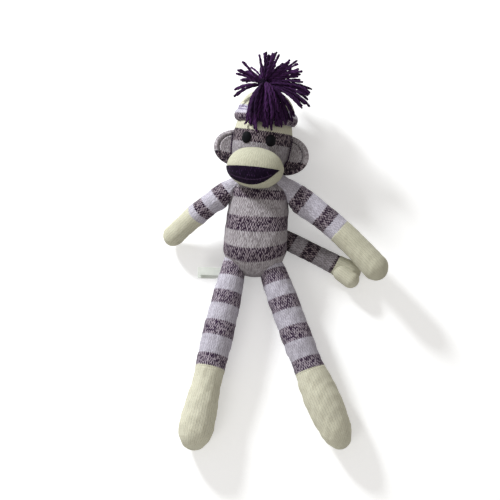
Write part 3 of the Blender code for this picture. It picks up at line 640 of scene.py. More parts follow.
# behind, the gathered cloth runs on over the body: a curve by (1 - t)^2, 2 t (1 - t) and t^2
skirtEnd = torso.place(0 * turn + neck["skirt"], np.pi - turn, neck["skirtLift"])
skirtShare = smoothStep(-neck["skirtWide"] * np.sin(turn))[:, None]
# the neck's knit is the pale yarn darkened: painted shade
neckKnit = knitMaterial("neck knit", ((0, "stone"),))
neckParts = (("neck_lower", "body", "neck"), ("neck_middle", "neck", "neck_seam"), ("neck_upper", "neck_seam", "head"))
for (name, first, second), start, end in zip(neckParts, cuts, cuts[1:]):
    t = np.linspace(0, 1, neck["grid"][0])[:, None]
    at = start + (end - start) * t
    places = neckForm.place(at, turn)
    if second == "neck":
        t = 1 - t[..., None]
        lowest = neckForm.place(low, turn)
        target = lowest + (skirtEnd - lowest) * skirtShare
        places = (1 - t) ** 2 * neckForm.place(end, turn) + 2 * t * (1 - t) * lowest + t ** 2 * target
    pleat = neck["pleatDepth"] * np.cos(neck["pleats"] * turn) * bell(at - 0.5, neck["pleatWide"])
    depth = pleat - neck["pinch"] * bell(at - 0.5, neck["pinchWide"])
    places = onFloor(places + unit(places - neckForm.curve(at)) * depth[..., None])
    ends = neckForm.curve(np.array([start.max(), end.min()]))
    mesh = tubesMesh(name, places, stitchMap(turn, neck["stitches"], at * neck["length"]), neck["stitches"], inset=0.5)
    addPiece(mesh, neckKnit, (first, second, *ends), ["neck"])

# Whip stitches round the neck: a thread coiled round the seam's ring
coil = np.linspace(0, 2 * np.pi, neck["wraps"] * 10)
spoke = around(*neckForm.sides(np.array(0.5)), coil)
wrap = neck["wraps"] * coil
path = (neckMiddle + spoke * (neck["ring"] + neck["wrap"][0] * (np.cos(wrap) - 1))[:, None]
        + neckWay * (neck["wrap"][1] * np.sin(wrap))[:, None])
mesh = yarnMesh("neck_whip_stitches", path[None], neck["thread"], 6, 0.1, 0.004, spoke[None])
addPiece(mesh, darkThread, "neck_seam", ["neck_seam"])
print("head and neck done")

# Muzzle: a stuffed cream patch sewn to the face. Its back is fuller above the chin, so that its
# edge meets the cheeks: depth behind the middle plane * (1 + fuller * step of the height)
muzzleValues = {"drop": 0.0298, "shift": 0.0026, "forward": 0.04, "half": (0.0395, 0.025), "tall": 0.0278,
                "back": 0.36, "fuller": 1.4, "chin": 0.022, "chinStep": 0.034, "lumps": 0.0003, "puff": 0.0006,
                "start": 0.0004, "seed": 3.0, "grid": (110, 180), "lift": 0.0002, "rim": 0.97}
muzzleMiddle = onHead(muzzleValues["shift"], -muzzleValues["drop"], muzzleValues["forward"])
reach = up * muzzleValues["tall"]
muzzle = Stuffed((muzzleMiddle - reach, muzzleMiddle + reach), muzzleValues["half"], muzzleValues["tall"],
                 back=muzzleValues["back"], front=out)
places, uv, count = skin(muzzle, muzzleValues)
behind = np.minimum((places - muzzleMiddle) @ out, 0)
raised = smoothStep(((places - muzzleMiddle) @ up + muzzleValues["chin"]) / muzzleValues["chinStep"])
places = head.clear(places + out * (behind * raised * muzzleValues["fuller"])[..., None], muzzleValues["lift"])
# the muzzle's knit is the cream darkened: painted shade
addPiece(tubesMesh("muzzle_knit", places, uv, count), knitMaterial("muzzle knit", ((0, "butter"),), 0.0004), "head",
         ["muzzle"])


# Place on the muzzle's front, x across and y up from its middle, lifted along its normal
def onMuzzle(x, y, lift):
    (w, d), t, rim = muzzle.half, muzzleValues["tall"], muzzleValues["rim"]
    r = np.hypot(x / w, y / t)
    ease = np.where(r > rim, rim / np.maximum(r, 1e-6), 1)
    x, y = x * ease, y * ease
    z = d * np.sqrt(1 - (x / w) ** 2 - (y / t) ** 2)
    normal = unit(headWay(x / w ** 2, y / t ** 2, z / d ** 2))
    return muzzleMiddle + headWay(x, y, z) + normal * lift[..., None]


# A padded patch: rings shrink from its outline to its middle; the front bulges, the back lies flat.
# lift = low + bulge * (1 - ring ** power), and the stitches run straight up.
def patch(name, outline, middle, onto, low, bulge, power, back=0.0005, rings=16, centre=0.06, points=140):
    closed = np.vstack([outline, outline[:1]])
    steps = np.concatenate([[0], np.cumsum(np.linalg.norm(np.diff(closed, axis=0), axis=1))])
    evenly = np.linspace(0, steps[-1], points, endpoint=False)
    edge = np.stack([np.interp(evenly, steps, closed[:, k]) for k in range(2)], -1)
    inward = np.linspace(1, centre, rings) ** 0.7
    ring = np.concatenate([np.linspace(centre, 1, rings), inward])
    lift = np.concatenate([np.full(rings, back), low + bulge * (1 - inward ** power)])
    flat = middle + (edge - middle) * ring[:, None, None]
    places = onto(flat[..., 0], flat[..., 1], lift[:, None] + 0 * flat[..., 0])
    return tubesMesh(name, places, flat / np.array([stitch["wide"], -stitch["tall"]]) + 40)


# Mouth: a half moon. Share runs from its right corner, -1, to its left one, 1; depth from lip to edge:
# fall = depth * (1 - share ** 2) ** (curve + lean * share)
mouth = {"shift": -0.0018, "half": 0.0365, "low": 0.001, "tip": 0.0022, "arch": 0.0015, "depth": 0.022,
         "curve": 0.72, "lean": 0.3, "lift": 0.001, "bulge": 0.0012, "middle": (-0.0038, -0.00924),
         "threadDepth": 0.7, "threadEnds": (-0.84, 0.76), "stitches": 15, "threadLift": 0.0001, "threadArch": 0.0004,
         "threadRing": (0.95, 0.6), "power": 4}


def mouthPlace(share, depthShare):
    bulge = np.maximum(1 - share ** 2, 1e-9)
    fall = mouth["depth"] * bulge ** (mouth["curve"] + mouth["lean"] * share)
    line = mouth["tip"] * share - mouth["low"] + mouth["arch"] * bulge * (1 - depthShare)
    return np.stack([mouth["shift"] + share * mouth["half"], line - fall * depthShare], -1)


share = -np.cos(np.linspace(0, np.pi, 60))
outline = np.vstack([mouthPlace(share, 0), mouthPlace(share[::-1][1:-1], 1)])
mesh = patch("mouth_knit", outline, np.array(mouth["middle"]), onMuzzle, mouth["lift"], mouth["bulge"],
             mouth["power"])
addPiece(mesh, knitMaterial("mouth knit", ((0, "mouth"),), 0.0005), "head", ["mouth"])

# Mouth line: backstitches, one after another along the thread's line, on the patch's bulge
share = dashes(np.linspace(*mouth["threadEnds"], mouth["stitches"] + 1), 0.03, 0.97, 9)
flat = mouthPlace(share, mouth["threadDepth"])
nearEdge = np.minimum(np.hypot(mouth["threadRing"][0] * share, mouth["threadRing"][1]), 1)
lift = (mouth["lift"] + mouth["bulge"] * (1 - nearEdge ** mouth["power"]) + mouth["threadLift"]
        + mouth["threadArch"] * np.sin(np.linspace(0, np.pi, 9)))
mesh = yarnMesh("mouth_line_stitches", onMuzzle(flat[..., 0], flat[..., 1], lift), 0.0008, 8, 0.12, 0.004, tones=0.6)
addPiece(mesh, darkThread, "head", ["mouth_stitch"])

# Eyes: flattened domes pressed into the face
eye = {"half": (0.007, 0.008), "bulge": 0.003, "spread": 0.0165, "height": 0.0095, "edge": 0.0012,
       "power": 2.4, "back": -0.0006, "rings": 14}
eyeBlack = eyeMaterial()
for side, sign in (("left", 1), ("right", -1)):
    middle = sign * eye["spread"]
    inside = 1 - (middle / head.half[0]) ** 2
    outward = unit(headWay(middle / head.half[0] ** 2, 0, math.sqrt(inside) / head.half[1]))
    right = unit(np.cross(up, outward))

    def onEye(x, y, lift):
        x, y = middle + x * (across @ right), eye["height"] + y
        width, depth = headSides(y)
        return onHead(x, y, depth * np.sqrt(1 - (x / width) ** 2)) + outward * lift[..., None]

    ring = circle(48)
    outline = np.stack([eye["half"][0] * np.cos(ring), eye["half"][1] * np.sin(ring)], -1)
    mesh = patch("eye_bead_" + side, outline, np.zeros(2), onEye, eye["edge"], eye["bulge"], eye["power"],
                 eye["back"], eye["rings"])
    addPiece(mesh, eyeBlack, "head", ["eye_" + side])
print("face done")

# Ears: two layers of knit, padded, topstitched inside the rim and gathered where they are sewn on.
# Half thickness = plump rim, less a groove at the topstitching, less a dish inside it
ear = {"half": {"left": 0.0274, "right": 0.0245}, "reach": {"left": 0.0276, "right": 0.0242}, "inset": 0.006,
       "thick": 0.005, "groove": 0.74, "marlBelow": -0.0085, "dish": 0.0045, "ripple": 0.0006, "grid": (34, 160),
       "gather": 0.3, "gatherWide": 0.003, "bend": (-0.002, 0.01), "firstStitch": (30, 20),
       "dashes": 30, "dashEnds": 0.62 * np.pi, "dashOut": 0.52, "thread": 0.0006,
       "rootDashes": 16, "rootEnds": 0.86, "rootThread": 0.0009, "rootOut": 0.0016, "rootThick": 0.72,
       "rootLift": 0.0008, "plump": 1.9, "grooveDepth": 0.55, "grooveWide": 0.045, "dished": 0.22, "dishWide": 0.3,
       "crush": 0.02}


# How far out the head's side lies at a height and depth on the ear.
def rootSide(y, z):
    width, depth = headSides(y - headValues["earDrop"])
    return width * np.sqrt(np.clip(1 - (z / np.maximum(depth, 1e-4)) ** 2, 0, 1)) - 0.0003


# Out from the head along the ear: points nearer than the head's side are laid on it.
def byHead(x, y, z):
    side = rootSide(y, z)
    reached = head.half[0] - ear["inset"] + x
    return np.where(reached < side, side - ear["crush"] * (side - reached), reached), np.maximum(reached - side, 0)


# rho is the share of the way from the ear's middle to its rim.
def earThickness(rho):
    thick = ear["thick"] * np.minimum(1, ear["plump"] * np.sqrt(np.maximum(1 - rho ** 2, 0)))
    thick = thick * (1 - ear["grooveDepth"] * bell(rho - ear["groove"], ear["grooveWide"]))
    return thick * (1 - ear["dished"] * smoothStep((ear["groove"] - rho) / ear["dishWide"]))


for side, sign in (("left", 1), ("right", -1)):
    wide, tall = ear["reach"][side] + ear["inset"], ear["half"][side]

    def onSide(x, y, z):
        return onHead(sign * x, y - headValues["earDrop"], z)

    turn = circle(ear["grid"][1])
    rho = np.sin(np.linspace(0.03, 0.5, ear["grid"][0]) * np.pi)
    thick = earThickness(rho)
    rho, thick = np.concatenate([rho, rho[::-1][1:]])[:, None], np.concatenate([-thick, thick[::-1][1:]])[:, None]
    x, y = sign * wide * rho * np.cos(turn), tall * rho * np.sin(turn)
    dish = ear["dish"] * smoothStep(sign * x / wide) + ear["ripple"] * np.sin(5 * turn) * rho ** 3
    reached, away = byHead(sign * x, y, thick + dish)
    places = onSide(reached, y, thick * (1 - ear["gather"] * bell(away, ear["gatherWide"])) + dish)
    uv = np.stack([(x + sign * thick) / stitch["wide"], (ear["marlBelow"] - y) / stitch["tall"]], -1)
    start, end = (pivot[f"ear_{side}_bend"] + across * sign * step for step in ear["bend"])
    # the ears are the pale yarn and the marl darkened: painted shade
    earKnit = knitMaterial("ear knit " + side, ((0, "stone"), (ear["firstStitch"][1] * stitch["tall"], "soot")))
    bodies = ("head", "ear_" + side, start, end)
    mesh = tubesMesh(f"ear_{side}_knit", onFloor(places), uv + ear["firstStitch"])
    addPiece(mesh, earKnit, bodies, ["ear_" + side])
    # running stitches in the groove, on both faces
    bend = dashes(np.linspace(-ear["dashEnds"], ear["dashEnds"], ear["dashes"] + 1), 0.06, 0.8, 6)
    bend = np.concatenate([bend, bend])
    face = np.repeat([1.0, -1.0], ear["dashes"])[:, None]
    x, y = wide * ear["groove"] * np.cos(bend), tall * ear["groove"] * np.sin(bend)
    paths = onSide(head.half[0] - ear["inset"] + x, y,
                   face * ear["thick"] * ear["dashOut"] + ear["dish"] * smoothStep(x / wide))
    mesh = yarnMesh(f"ear_{side}_topstitching", paths, ear["thread"], 6, 0.1, 0.003)
    addPiece(mesh, greyThread, bodies)
    # the stitches that hold the ear to the head, in front and behind
    y = dashes(np.linspace(-ear["rootEnds"], ear["rootEnds"], ear["rootDashes"] + 1) * tall, 0.0, 0.9, 6)
    y = np.concatenate([y, y])
    face = np.repeat([1.0, -1.0], ear["rootDashes"])[:, None]
    z = face * (earThickness(np.hypot(ear["inset"] / wide, y / tall)) * ear["rootThick"] + ear["rootLift"])
    mesh = yarnMesh(f"ear_{side}_root_stitches", onSide(rootSide(y, z) + ear["rootOut"], y, z), ear["rootThread"],
                    6, 0.1, 0.003)
    addPiece(mesh, darkThread, "head")
print("ears done")

# Cap: a dome of cream knit with a pale edge, two layers thick, gathered at its apex
cap = {"skirt": 0.0075, "brim": 0.041, "top": 0.08, "half": (0.0405, 0.0392), "round": 0.04, "thick": 0.0018,
       "grid": (60, 180), "gather": 0.0007, "gathers": 14, "gatherLong": 0.007, "lumps": 0.0005, "stitches": 74,
       "tip": 2.5, "ring": (0.0373, 0.0358), "roll": (0.0062, 0.0082), "rollRows": 19, "brimGrid": (48, 260),
       "swells": ((3, 0.8, 0.07), (7, 2, 0.05), (13, 0, 0.03)), "aim": 0.7, "gatherDrift": (3, 0.7),
       "bands": ((0, "pale"), (0.0155, "dusk"), (0.018, "pale"), (0.02, "flax")),
       # the brim's dark rows are the marl darkened: painted shade
       "brimBands": ((0, "umber"), (1, "pale"), (3, "dusk"), (4, "pale"), (8, "umber"))}
capForm = Stuffed((onHead(0, cap["brim"] - cap["skirt"], 0), onHead(0, cap["top"], 0)), cap["half"],
                  (0.0005, cap["round"]), front=out)
turn = circle(cap["grid"][1])
at = np.sin(np.linspace(0.002, 0.498, cap["grid"][0]) * np.pi)[:, None] * 0.999
places = capForm.place(at, turn)
outward = unit(places - onHead(0, cap["brim"] * cap["aim"], 0))
drift = cap["gatherDrift"][1] * np.sin(cap["gatherDrift"][0] * turn)
gather = np.exp(-(1 - at) * capForm.length / cap["gatherLong"]) * np.cos(cap["gathers"] * turn + drift)
places = places + outward * (gather * cap["gather"] + cap["lumps"] * lumps(places, 4.0, 0.04))[..., None]
shell = head.clear(np.concatenate([(places - outward * cap["thick"])[::-1], places]))
uv = stitchMap(turn, cap["stitches"], np.concatenate([at[::-1], at]) * capForm.length)
addPiece(tubesMesh("cap_crown_knit", shell, uv, cap["stitches"]), knitMaterial("cap knit", cap["bands"]), "head",
         ["cap_crown"])

# Brim: the cap's edge rolled up into a ring that swells unevenly and tips to the doll's right.
# place = ring * (its half width + roll) + up * roll
tip = math.radians(cap["tip"])
brimAcross, brimUp = across * math.cos(tip) + up * math.sin(tip), up * math.cos(tip) - across * math.sin(tip)
ring, roll = circle(cap["brimGrid"][1]), circle(cap["brimGrid"][0])[:, None]
swell = sum((size * np.sin(waves * ring + shift) for waves, shift, size in cap["swells"]), 1)
radial, tall = cap["roll"][0] * swell * np.cos(roll), cap["roll"][1] * swell * np.sin(roll)
places = (onHead(0, cap["brim"], 0) + brimUp * tall[..., None]
          + around(brimAcross, out, ring, cap["ring"][0] + radial, cap["ring"][1] + radial))
places = onFloor(capForm.clear(head.clear(places, 0.0002), 0.0002))
uv = stitchMap(ring, cap["stitches"], roll, 2 * np.pi / cap["rollRows"])
addPiece(tubesMesh("cap_brim_knit", places, uv, cap["stitches"], loop=cap["rollRows"]),
         knitMaterial("brim knit", [(row * stitch["tall"], yarn) for row, yarn in cap["brimBands"]]), "head",
         ["cap_brim"])
print("cap done")

# Pompom: strands spring from a knot in locks that keep together. One lock is its heading round the
# axis (0 in front, 90 at the doll's left), its first angle to the axis, its bend, how early it
# bends, its length, its spread and how many strands it has. A strand's angle to the axis is
# first + bend * share of its length ** (1 / early), so each lies about in a plane through the axis.
pompom = {"tie": 0.0032, "core": 0.0088, "knot": 0.0125, "radius": 0.00155, "steps": 30, "layer": 0.006,
          "clear": 0.0022, "wander": 0.2, "brimReach": 0.01, "ply": 0.16, "pitch": 0.0085, "coil": 0.0048,
          "startSpread": 0.7, "lengths": (0.84, 1.04), "lockTones": (0.25, 0.9), "strandTones": (0.5, 1.4),
          "waves": (0.5, 1.2), "spring": 0.85, "settle": 8, "onBrim": 1.08, "overBrim": 1.06, "uneven": (0.88, 1.15),
          "root": 0.75, "rootLong": 5, "knotGrid": (44, 72), "windings": 16, "windingDepth": 0.05, "tieTurns": 4,
          "tieYarn": 0.0009,
          "locks": ((-100, 4, 4, 1.0, 0.041, 2, 1), (75, 15, 8, 1.0, 0.046, 4, 7), (120, 18, 8, 1.0, 0.042, 3, 2),
                    (95, 27, 4, 1.0, 0.047, 3, 1), (88, 40, 4, 1.0, 0.05, 3, 2), (96, 50, 12, 1.0, 0.052, 3, 3),
                    (85, 56, 18, 1.0, 0.053, 4, 5), (84, 66, 22, 1.0, 0.05, 4, 3), (80, 75, 37, 1.0, 0.058, 5, 12),
                    (72, 87, 42, 1.0, 0.062, 5, 11), (-95, 42, 4, 1.0, 0.036, 3, 2), (-85, 56, 12, 1.0, 0.035, 4, 3),
                    (-84, 86, 34, 1.0, 0.036, 3, 3), (-76, 94, 42, 1.0, 0.039, 3, 3), (-26, 80, 100, 1.7, 0.062, 5, 7),
                    (-13, 78, 102, 1.7, 0.068, 5, 7), (-2, 76, 104, 1.7, 0.064, 5, 6), (8, 78, 102, 1.7, 0.067, 5, 7),
                    (19, 80, 100, 1.7, 0.066, 5, 8), (29, 80, 98, 1.7, 0.063, 5, 7), (39, 82, 92, 1.6, 0.063, 5, 7),
                    (50, 82, 88, 1.6, 0.062, 4, 7), (2, 58, 122, 1.5, 0.058, 9, 4), (28, 56, 118, 1.5, 0.06, 9, 5),
                    (-16, 60, 118, 1.5, 0.056, 8, 4), (150, 70, 30, 1.0, 0.044, 7, 8), (175, 60, 35, 1.0, 0.044, 8, 8),
                    (-165, 78, 30, 1.0, 0.044, 8, 8), (-142, 74, 40, 1.0, 0.04, 6, 6), (122, 66, 30, 1.0, 0.045, 6, 5),
                    (-125, 84, 40, 1.0, 0.036, 5, 4), (175, 32, 25, 1.0, 0.038, 8, 6))}
axisUp, seat = axis["pompom_twist"], pivot["pompom_twist"]
knot = seat + axisUp * pompom["knot"]
fore = unit(out - axisUp * (out @ axisUp))
leftward = np.cross(axisUp, fore)
counts = np.array([lock[-1] for lock in pompom["locks"]])
heading, first, bend, early, length, spread, _ = np.repeat(np.array(pompom["locks"]), counts, axis=0).T
total = len(heading)
turn = np.radians(heading + dice.normal(0, 1, total) * spread)
starts = first + dice.normal(0, pompom["startSpread"], total) * spread
bends = bend + dice.normal(0, 1, total) * spread
lengths = length * dice.uniform(*pompom["lengths"], total)
# each lock and each strand gets a random tone; the wide spread of tones also stands in for shade among the strands,
# painted in at random
tones = np.repeat(dice.uniform(*pompom["lockTones"], len(counts)), counts)
tones = tones * dice.uniform(*pompom["strandTones"], total)
way = around(fore, leftward, turn)
sideways = np.cross(axisUp, way)[:, None]
share = np.linspace(0, 1, pompom["steps"])
angle = np.radians(starts[:, None] + bends[:, None] * share ** (1 / early[:, None]))
wander = share * dice.uniform(*pompom["waves"], (total, 1)) + dice.uniform(0, 1, (total, 1))
wander = np.sin(2 * np.pi * wander)
outward = around(axisUp, way[:, None], angle)
direction = unit(outward + sideways * (pompom["wander"] * wander * share)[..., None])
run = np.concatenate([np.zeros((total, 1, 3)), np.cumsum(direction[:, :-1], 1)], 1) / (pompom["steps"] - 1)
paths = knot + outward[:, :1] * pompom["core"] * pompom["spring"] + run * lengths[:, None, None]
# strands lie on the head, the cap and the muzzle in layers, and ride over the brim
layer = dice.uniform(0, 1, total)[:, None] ** 1.5 * pompom["layer"]
for form in (head, capForm, muzzle):
    at, arm, outTo = form.measure(paths, pompom["clear"])
    deep = smoothStep(np.where((at > -0.05) & (at < 1.05), np.maximum(0, 1 - outTo), 0) * pompom["settle"])
    paths = form.clear(paths, pompom["clear"]) + unit(arm) * (deep * layer)[..., None]
fromBrim = paths - onHead(0, cap["brim"], 0)
rise, forward, beside = fromBrim @ brimUp, fromBrim @ out, fromBrim @ brimAcross
reached = np.hypot(beside / (cap["ring"][0] + cap["roll"][0]), forward / (cap["ring"][1] + cap["roll"][0]))
near = bell(rise, pompom["brimReach"]) * (forward > 0) * (reached < pompom["onBrim"])
ride = near * np.maximum(0, pompom["overBrim"] / np.maximum(reached, 0.3) - 1)
lifted = (fromBrim - rise[..., None] * brimUp) * ride[..., None]
thick = pompom["radius"] * dice.uniform(*pompom["uneven"], (total, 1))
thick = thick * (pompom["root"] + (1 - pompom["root"]) * smoothStep(share * pompom["rootLong"]))
mesh = yarnMesh("pompom_strands", paths + lifted, thick, 9, pompom["ply"], pompom["pitch"], sideways, 0.7, tones)
addPiece(mesh, purpleYarn, "pompom", ["pompom"])

# The knot inside: a ball of wound yarn, radius = core * (1 + ripple of the windings)
turn, height = circle(pompom["knotGrid"][1]), np.linspace(0.02, np.pi - 0.02, pompom["knotGrid"][0])[:, None]
radius = pompom["core"] * (1 + pompom["windingDepth"] * np.sin(pompom["windings"] * height + 6 * np.sin(turn)))
places = knot + around(axisUp, around(fore, leftward, turn), height, radius)
mesh = tubesMesh("pompom_knot", places, stitchMap(turn, 8, height * 3, 1), 8, 0.0)
# the ball has no tone, so it takes the yarn's darkest colour all over: painted shade for the dark hollow in the
# pompom's heart
addPiece(mesh, purpleYarn, "pompom")
# Tie: four turns of yarn round the strands' root
coil = np.linspace(0, 2 * np.pi * pompom["tieTurns"], 120)
path = seat + axisUp * (pompom["coil"] * (coil / coil[-1] - 0.5))[:, None] + around(fore, leftward, coil, pompom["tie"])
mesh = yarnMesh("pompom_tie_yarn", path[None], pompom["tieYarn"], 8, 0.14, 0.006, tones=0.5)
addPiece(mesh, purpleYarn, "pompom_tie", ["pompom_tie"])
print("pompom done")

# Limbs. Each is one knitted tube sewn to the body, so every line along it starts where it comes out
# of the body. Its pieces are stretches of that tube; the root's ends where a plane past the seam cuts
# it. At the seam it is gathered: a cosine round the tube that fades along it.
limbShape = {"columns": 112, "coarse": 32, "last": 0.9985, "rootRows": 30, "fade": 0.007, "pleat": 0.0007,
             "pinch": 0.0009, "ease": 6, "lumpEase": 8, "drift": 1.3}


def limb(label, form, values, chain, slots):
    last = limbShape["last"]
    turn, coarseTurn = circle(limbShape["columns"]), circle(limbShape["coarse"])
    s = np.linspace(0, 1, round(form.length / filling["row"]))[:, None]
    begin = meets(form, coarseTurn, outOfBody, values["reach"])
    coarse = form.place(begin + (last - begin) * s, coarseTurn, -values["start"] * smoothStep(s * limbShape["ease"]))
    shift = puff(coarse, (2, 1), values["puff"])
    seam = meets(form, turn, outOfBody, values["reach"])
    normal = unit(np.array((*values["side"], 0.0)))
    root = form.points[1] if len(form.points) > 2 else form.curve(np.array(values["inset"] / form.length))
    seamPlace, zone, bend = (root + normal * step for step in values["steps"])
    split = np.maximum(meets(form, turn, lambda p: p @ normal > zone @ normal, 0, 0.5), seam + 0.01)
    count = round(2 * np.pi * form.half[0] / stitch["wide"])
    material = knitMaterial(label + " knit", values["bands"])
    wrist = values["wrist"] / form.length + 0 * turn
    cuts = ((seam, split, limbShape["rootRows"]), (split, wrist, values["rows"][0]), (wrist, last, values["rows"][1]))
    bodies = (("body", chain[0], seamPlace, zone), (chain[0], chain[1], zone, bend), chain[1])
    for name, slot, (low, high, rows), body in zip(chain, slots, cuts, bodies):
        t = np.linspace(0, 1, rows)[:, None]
        at = low + (high - low) * (np.sin(t * np.pi / 2) if low is wrist else t)
        s = np.clip((at - seam) / (last - seam), 0, 1)
        places = form.place(at, turn, -values["start"] * smoothStep(s * limbShape["ease"])) + finer(shift, s, len(turn))
        outward = unit(form.place(at, turn) - form.curve(at))
        fade = np.exp(-np.maximum((at - seam) * form.length, 0) / limbShape["fade"])
        drift = limbShape["drift"] * np.sin(2 * turn)
        pleat = limbShape["pleat"] * np.cos(values["pleats"] * turn + drift) - limbShape["pinch"]
        soft = values["lumps"] * lumps(places, values["seed"]) * smoothStep(s * limbShape["lumpEase"])
        places = onFloor(places + outward * (fade * pleat + soft)[..., None])
        uv = stitchMap(turn, count, at * form.length - droop(values, turn))
        addPiece(tubesMesh(name + "_knit", places, uv, count, inset=0.5), material, body, [name])


# How far the rows sag: in front by sin(turn), and to one side by cos(turn).
def droop(values, turn):
    return values["droop"][0] * np.maximum(np.sin(turn), -0.3) + values["droop"][1] * np.cos(turn)


# Spine of a limb: from inside the body through its root and a bowed middle to its tip
def limbSpine(root, values, endHeight):
    way = levelWay(values["heading"])
    tip = root + way * values["length"]
    tip[2] = endHeight
    middle = (root + tip) / 2 + np.array((-way[1], way[0], 0)) * values["bow"] + np.array((0, 0, values["arch"]))
    return root - unit(middle - root) * values["inset"], root, middle, tip


armShared = {"reach": -0.06, "radius": 0.0155, "inset": 0.01, "handRound": 0.018, "steps": (0.0012, 0.0137, 0.0327),
             "sleeve": ((0, 0.8), (0.16, 1.1), (0.35, 1.09), (0.55, 1.12)),
             "pleats": 11, "puff": 0.0017, "start": 0.0004, "lumps": 0.0004}
# both arms' dark stripes are the marl darkened: painted shade
arms = {"left": {"length": 0.18, "heading": -43.2, "rise": 0.0105, "bow": 0.0048, "arch": 0.0, "girth": 1.0,
                 "hand": 1.18, "wrist": 0.104, "rows": (84, 80), "droop": (0.0022, 0.001), "seed": 5.0,
                 "side": (0.985, -0.17),
                 "bands": ((0, "pale"), (0.0255, "umber"), (0.0445, "pale"), (0.07, "umber"), (0.0885, "pale"),
                           (0.103, "flax"))},
        "right": {"length": 0.116, "heading": 217.9, "rise": -0.026, "bow": 0.0, "arch": 0.013, "girth": 0.88,
                  "hand": 1.08, "wrist": 0.074, "rows": (60, 64), "droop": (0.004, 0), "seed": 6.0,
                  "side": (-0.985, -0.17),
                  "bands": ((0, "pale"), (0.0185, "umber"), (0.035, "pale"), (0.0525, "umber"), (0.065, "pale"),
                            (0.0735, "flax"))}}
for side, own in arms.items():
    values = {**armShared, **own}
    root, girth, hand = pivot[f"shoulder_{side}_lower"], values["girth"], values["hand"]
    wide = (*values["sleeve"], (0.72, 0.3 + 0.7 * hand), (0.86, hand), (1, hand * 0.97))
    form = Stuffed(limbSpine(root, values, root[2] + values["rise"]), values["radius"] * girth,
                   (0, values["handRound"] * girth), wide)
    limb("arm " + side, form, values, [f"{name}_{side}" for name in ("shoulder", "arm", "hand")],
         ("pale_knit", "marl_knit", "cream_knit"))
print("arms done")

legShared = {"reach": -0.02, "length": 0.2645, "radius": 0.0205, "inset": 0.012, "footRound": 0.028,
             "footHeight": 0.0236, "wrist": 0.162, "rows": (120, 110), "steps": (0.0055, 0.0185, 0.0405), "arch": 0,
             "puff": 0.0016, "start": 0.0002, "pleats": 13, "lumps": 0.0006,
             "bands": ((0, "pale"), (0.0165, "marl"), (0.0345, "pale"), (0.056, "marl"), (0.0752, "pale"),
                       (0.0985, "marl"), (0.1185, "pale"), (0.144, "marl"), (0.161, "cream"))}
legs = {"left": {"heading": -68.3, "bow": -0.0034, "droop": (-0.0008, -0.0012), "seed": 7.0, "side": (0.57, -0.82),
                 "wide": ((0, 0.82), (0.1, 0.91), (0.2, 0.97), (0.33, 0.98), (0.45, 1.0), (0.55, 0.96), (0.65, 1.12),
                          (0.77, 1.19), (0.87, 1.08), (1, 0.82))},
        "right": {"heading": 256.9, "length": 0.2632, "bow": 0.0, "droop": (-0.0015, 0), "seed": 8.0,
                  "side": (-0.54, -0.84),
                  "wide": ((0, 0.76), (0.1, 0.82), (0.2, 0.92), (0.33, 0.99), (0.45, 1.02), (0.55, 0.98),
                           (0.65, 0.94), (0.77, 1.07), (0.87, 1.15), (1, 0.98))}}
for side, own in legs.items():
    values = {**legShared, **own}
    legForm = Stuffed(limbSpine(pivot[f"hip_{side}_fold"], values, values["footHeight"]), values["radius"],
                      (0, values["footRound"]), values["wide"])
    limb("leg " + side, legForm, values, [f"{name}_{side}" for name in ("hip", "leg", "foot")],
         ("marl_knit", "pale_knit", "cream_knit"))
print("legs done")

# Tail: a thinner tube from the back's left; its cream tip is folded back on itself
tail = {"reach": 0.0, "radius": 0.0134, "inset": 0.008, "length": 0.084, "heading": -27.0, "side": (0.93, -0.36),
        "steps": (0.0038, 0.0128, 0.0278), "wrist": 0.092, "rows": (70, 10), "puff": 0.001, "start": 0.0003,
        "pleats": 9, "lumps": 0.0003, "seed": 9.0, "droop": (0.0008, -0.0012), "grid": (48, 96), "stitches": 24,
        "wide": ((0, 0.9), (0.2, 0.97), (0.6, 1.0), (1, 1.03)), "tip": 0.0355, "tipHeading": -22.0,
        "tipRadius": 0.0142, "curl": (0.0122, 0.0105), "curlHalf": 0.01952, "curlLean": -38.0,
        "curlAt": (-0.0195, -0.003, 0.0062), "curlRows": (0.06, 0.03),
        # the tail's stripes are the pale yarn and the marl darkened further: painted shade
        "bands": ((0, "soot"), (0.0275, "ash"), (0.0435, "soot"), (0.0615, "ash"), (0.088, "soot"), (0.0925, "flax")),
        "tipBands": ((0, "flax"), (0.055, "cream"))}
root, radius, tailWay = pivot["tail_swing"], tail["radius"], levelWay(tail["heading"])
seam = root + tailWay * tail["length"]
form = Stuffed((root - tailWay * tail["inset"], seam + tailWay * radius), radius, (0, radius), tail["wide"])
limb("tail", form, tail, ("tail_root", "tail"), ("marl_knit", "marl_knit"))
tipEnd = seam + levelWay(tail["tipHeading"]) * tail["tip"]
tipForm = Stuffed((seam - tailWay * radius, seam + tailWay * radius / 4, tipEnd), tail["tipRadius"],
                  (radius / 2, tail["tipRadius"]))
curlMiddle, curlHalf = tipEnd + np.array(tail["curlAt"]), levelWay(tail["curlLean"]) * tail["curlHalf"]
curlForm = Stuffed((curlMiddle - curlHalf, curlMiddle + curlHalf), tail["curl"], tail["curl"][0])
turn = circle(tail["grid"][1])
begin = meets(tipForm, turn, lambda p: p @ tailWay > seam @ tailWay + 0.0001, 0, 0.7)
at = begin + (0.999 - begin) * np.sin(np.linspace(0, np.pi / 2, tail["grid"][0]))[:, None]
foldAt = rowShares(tail["grid"][0])[:, None] + 0 * turn
places = onFloor(np.stack([tipForm.place(at, turn), curlForm.place(foldAt, turn)]))
along = np.stack([at * tipForm.length, tail["curlRows"][0] + foldAt * tail["curlRows"][1]])
mesh = tubesMesh("tail_tip_knit", places, stitchMap(turn, tail["stitches"], along), tail["stitches"])
addPiece(mesh, knitMaterial("tail tip knit", tail["tipBands"]), "tail", ["tail_tip"])
print("tail done")

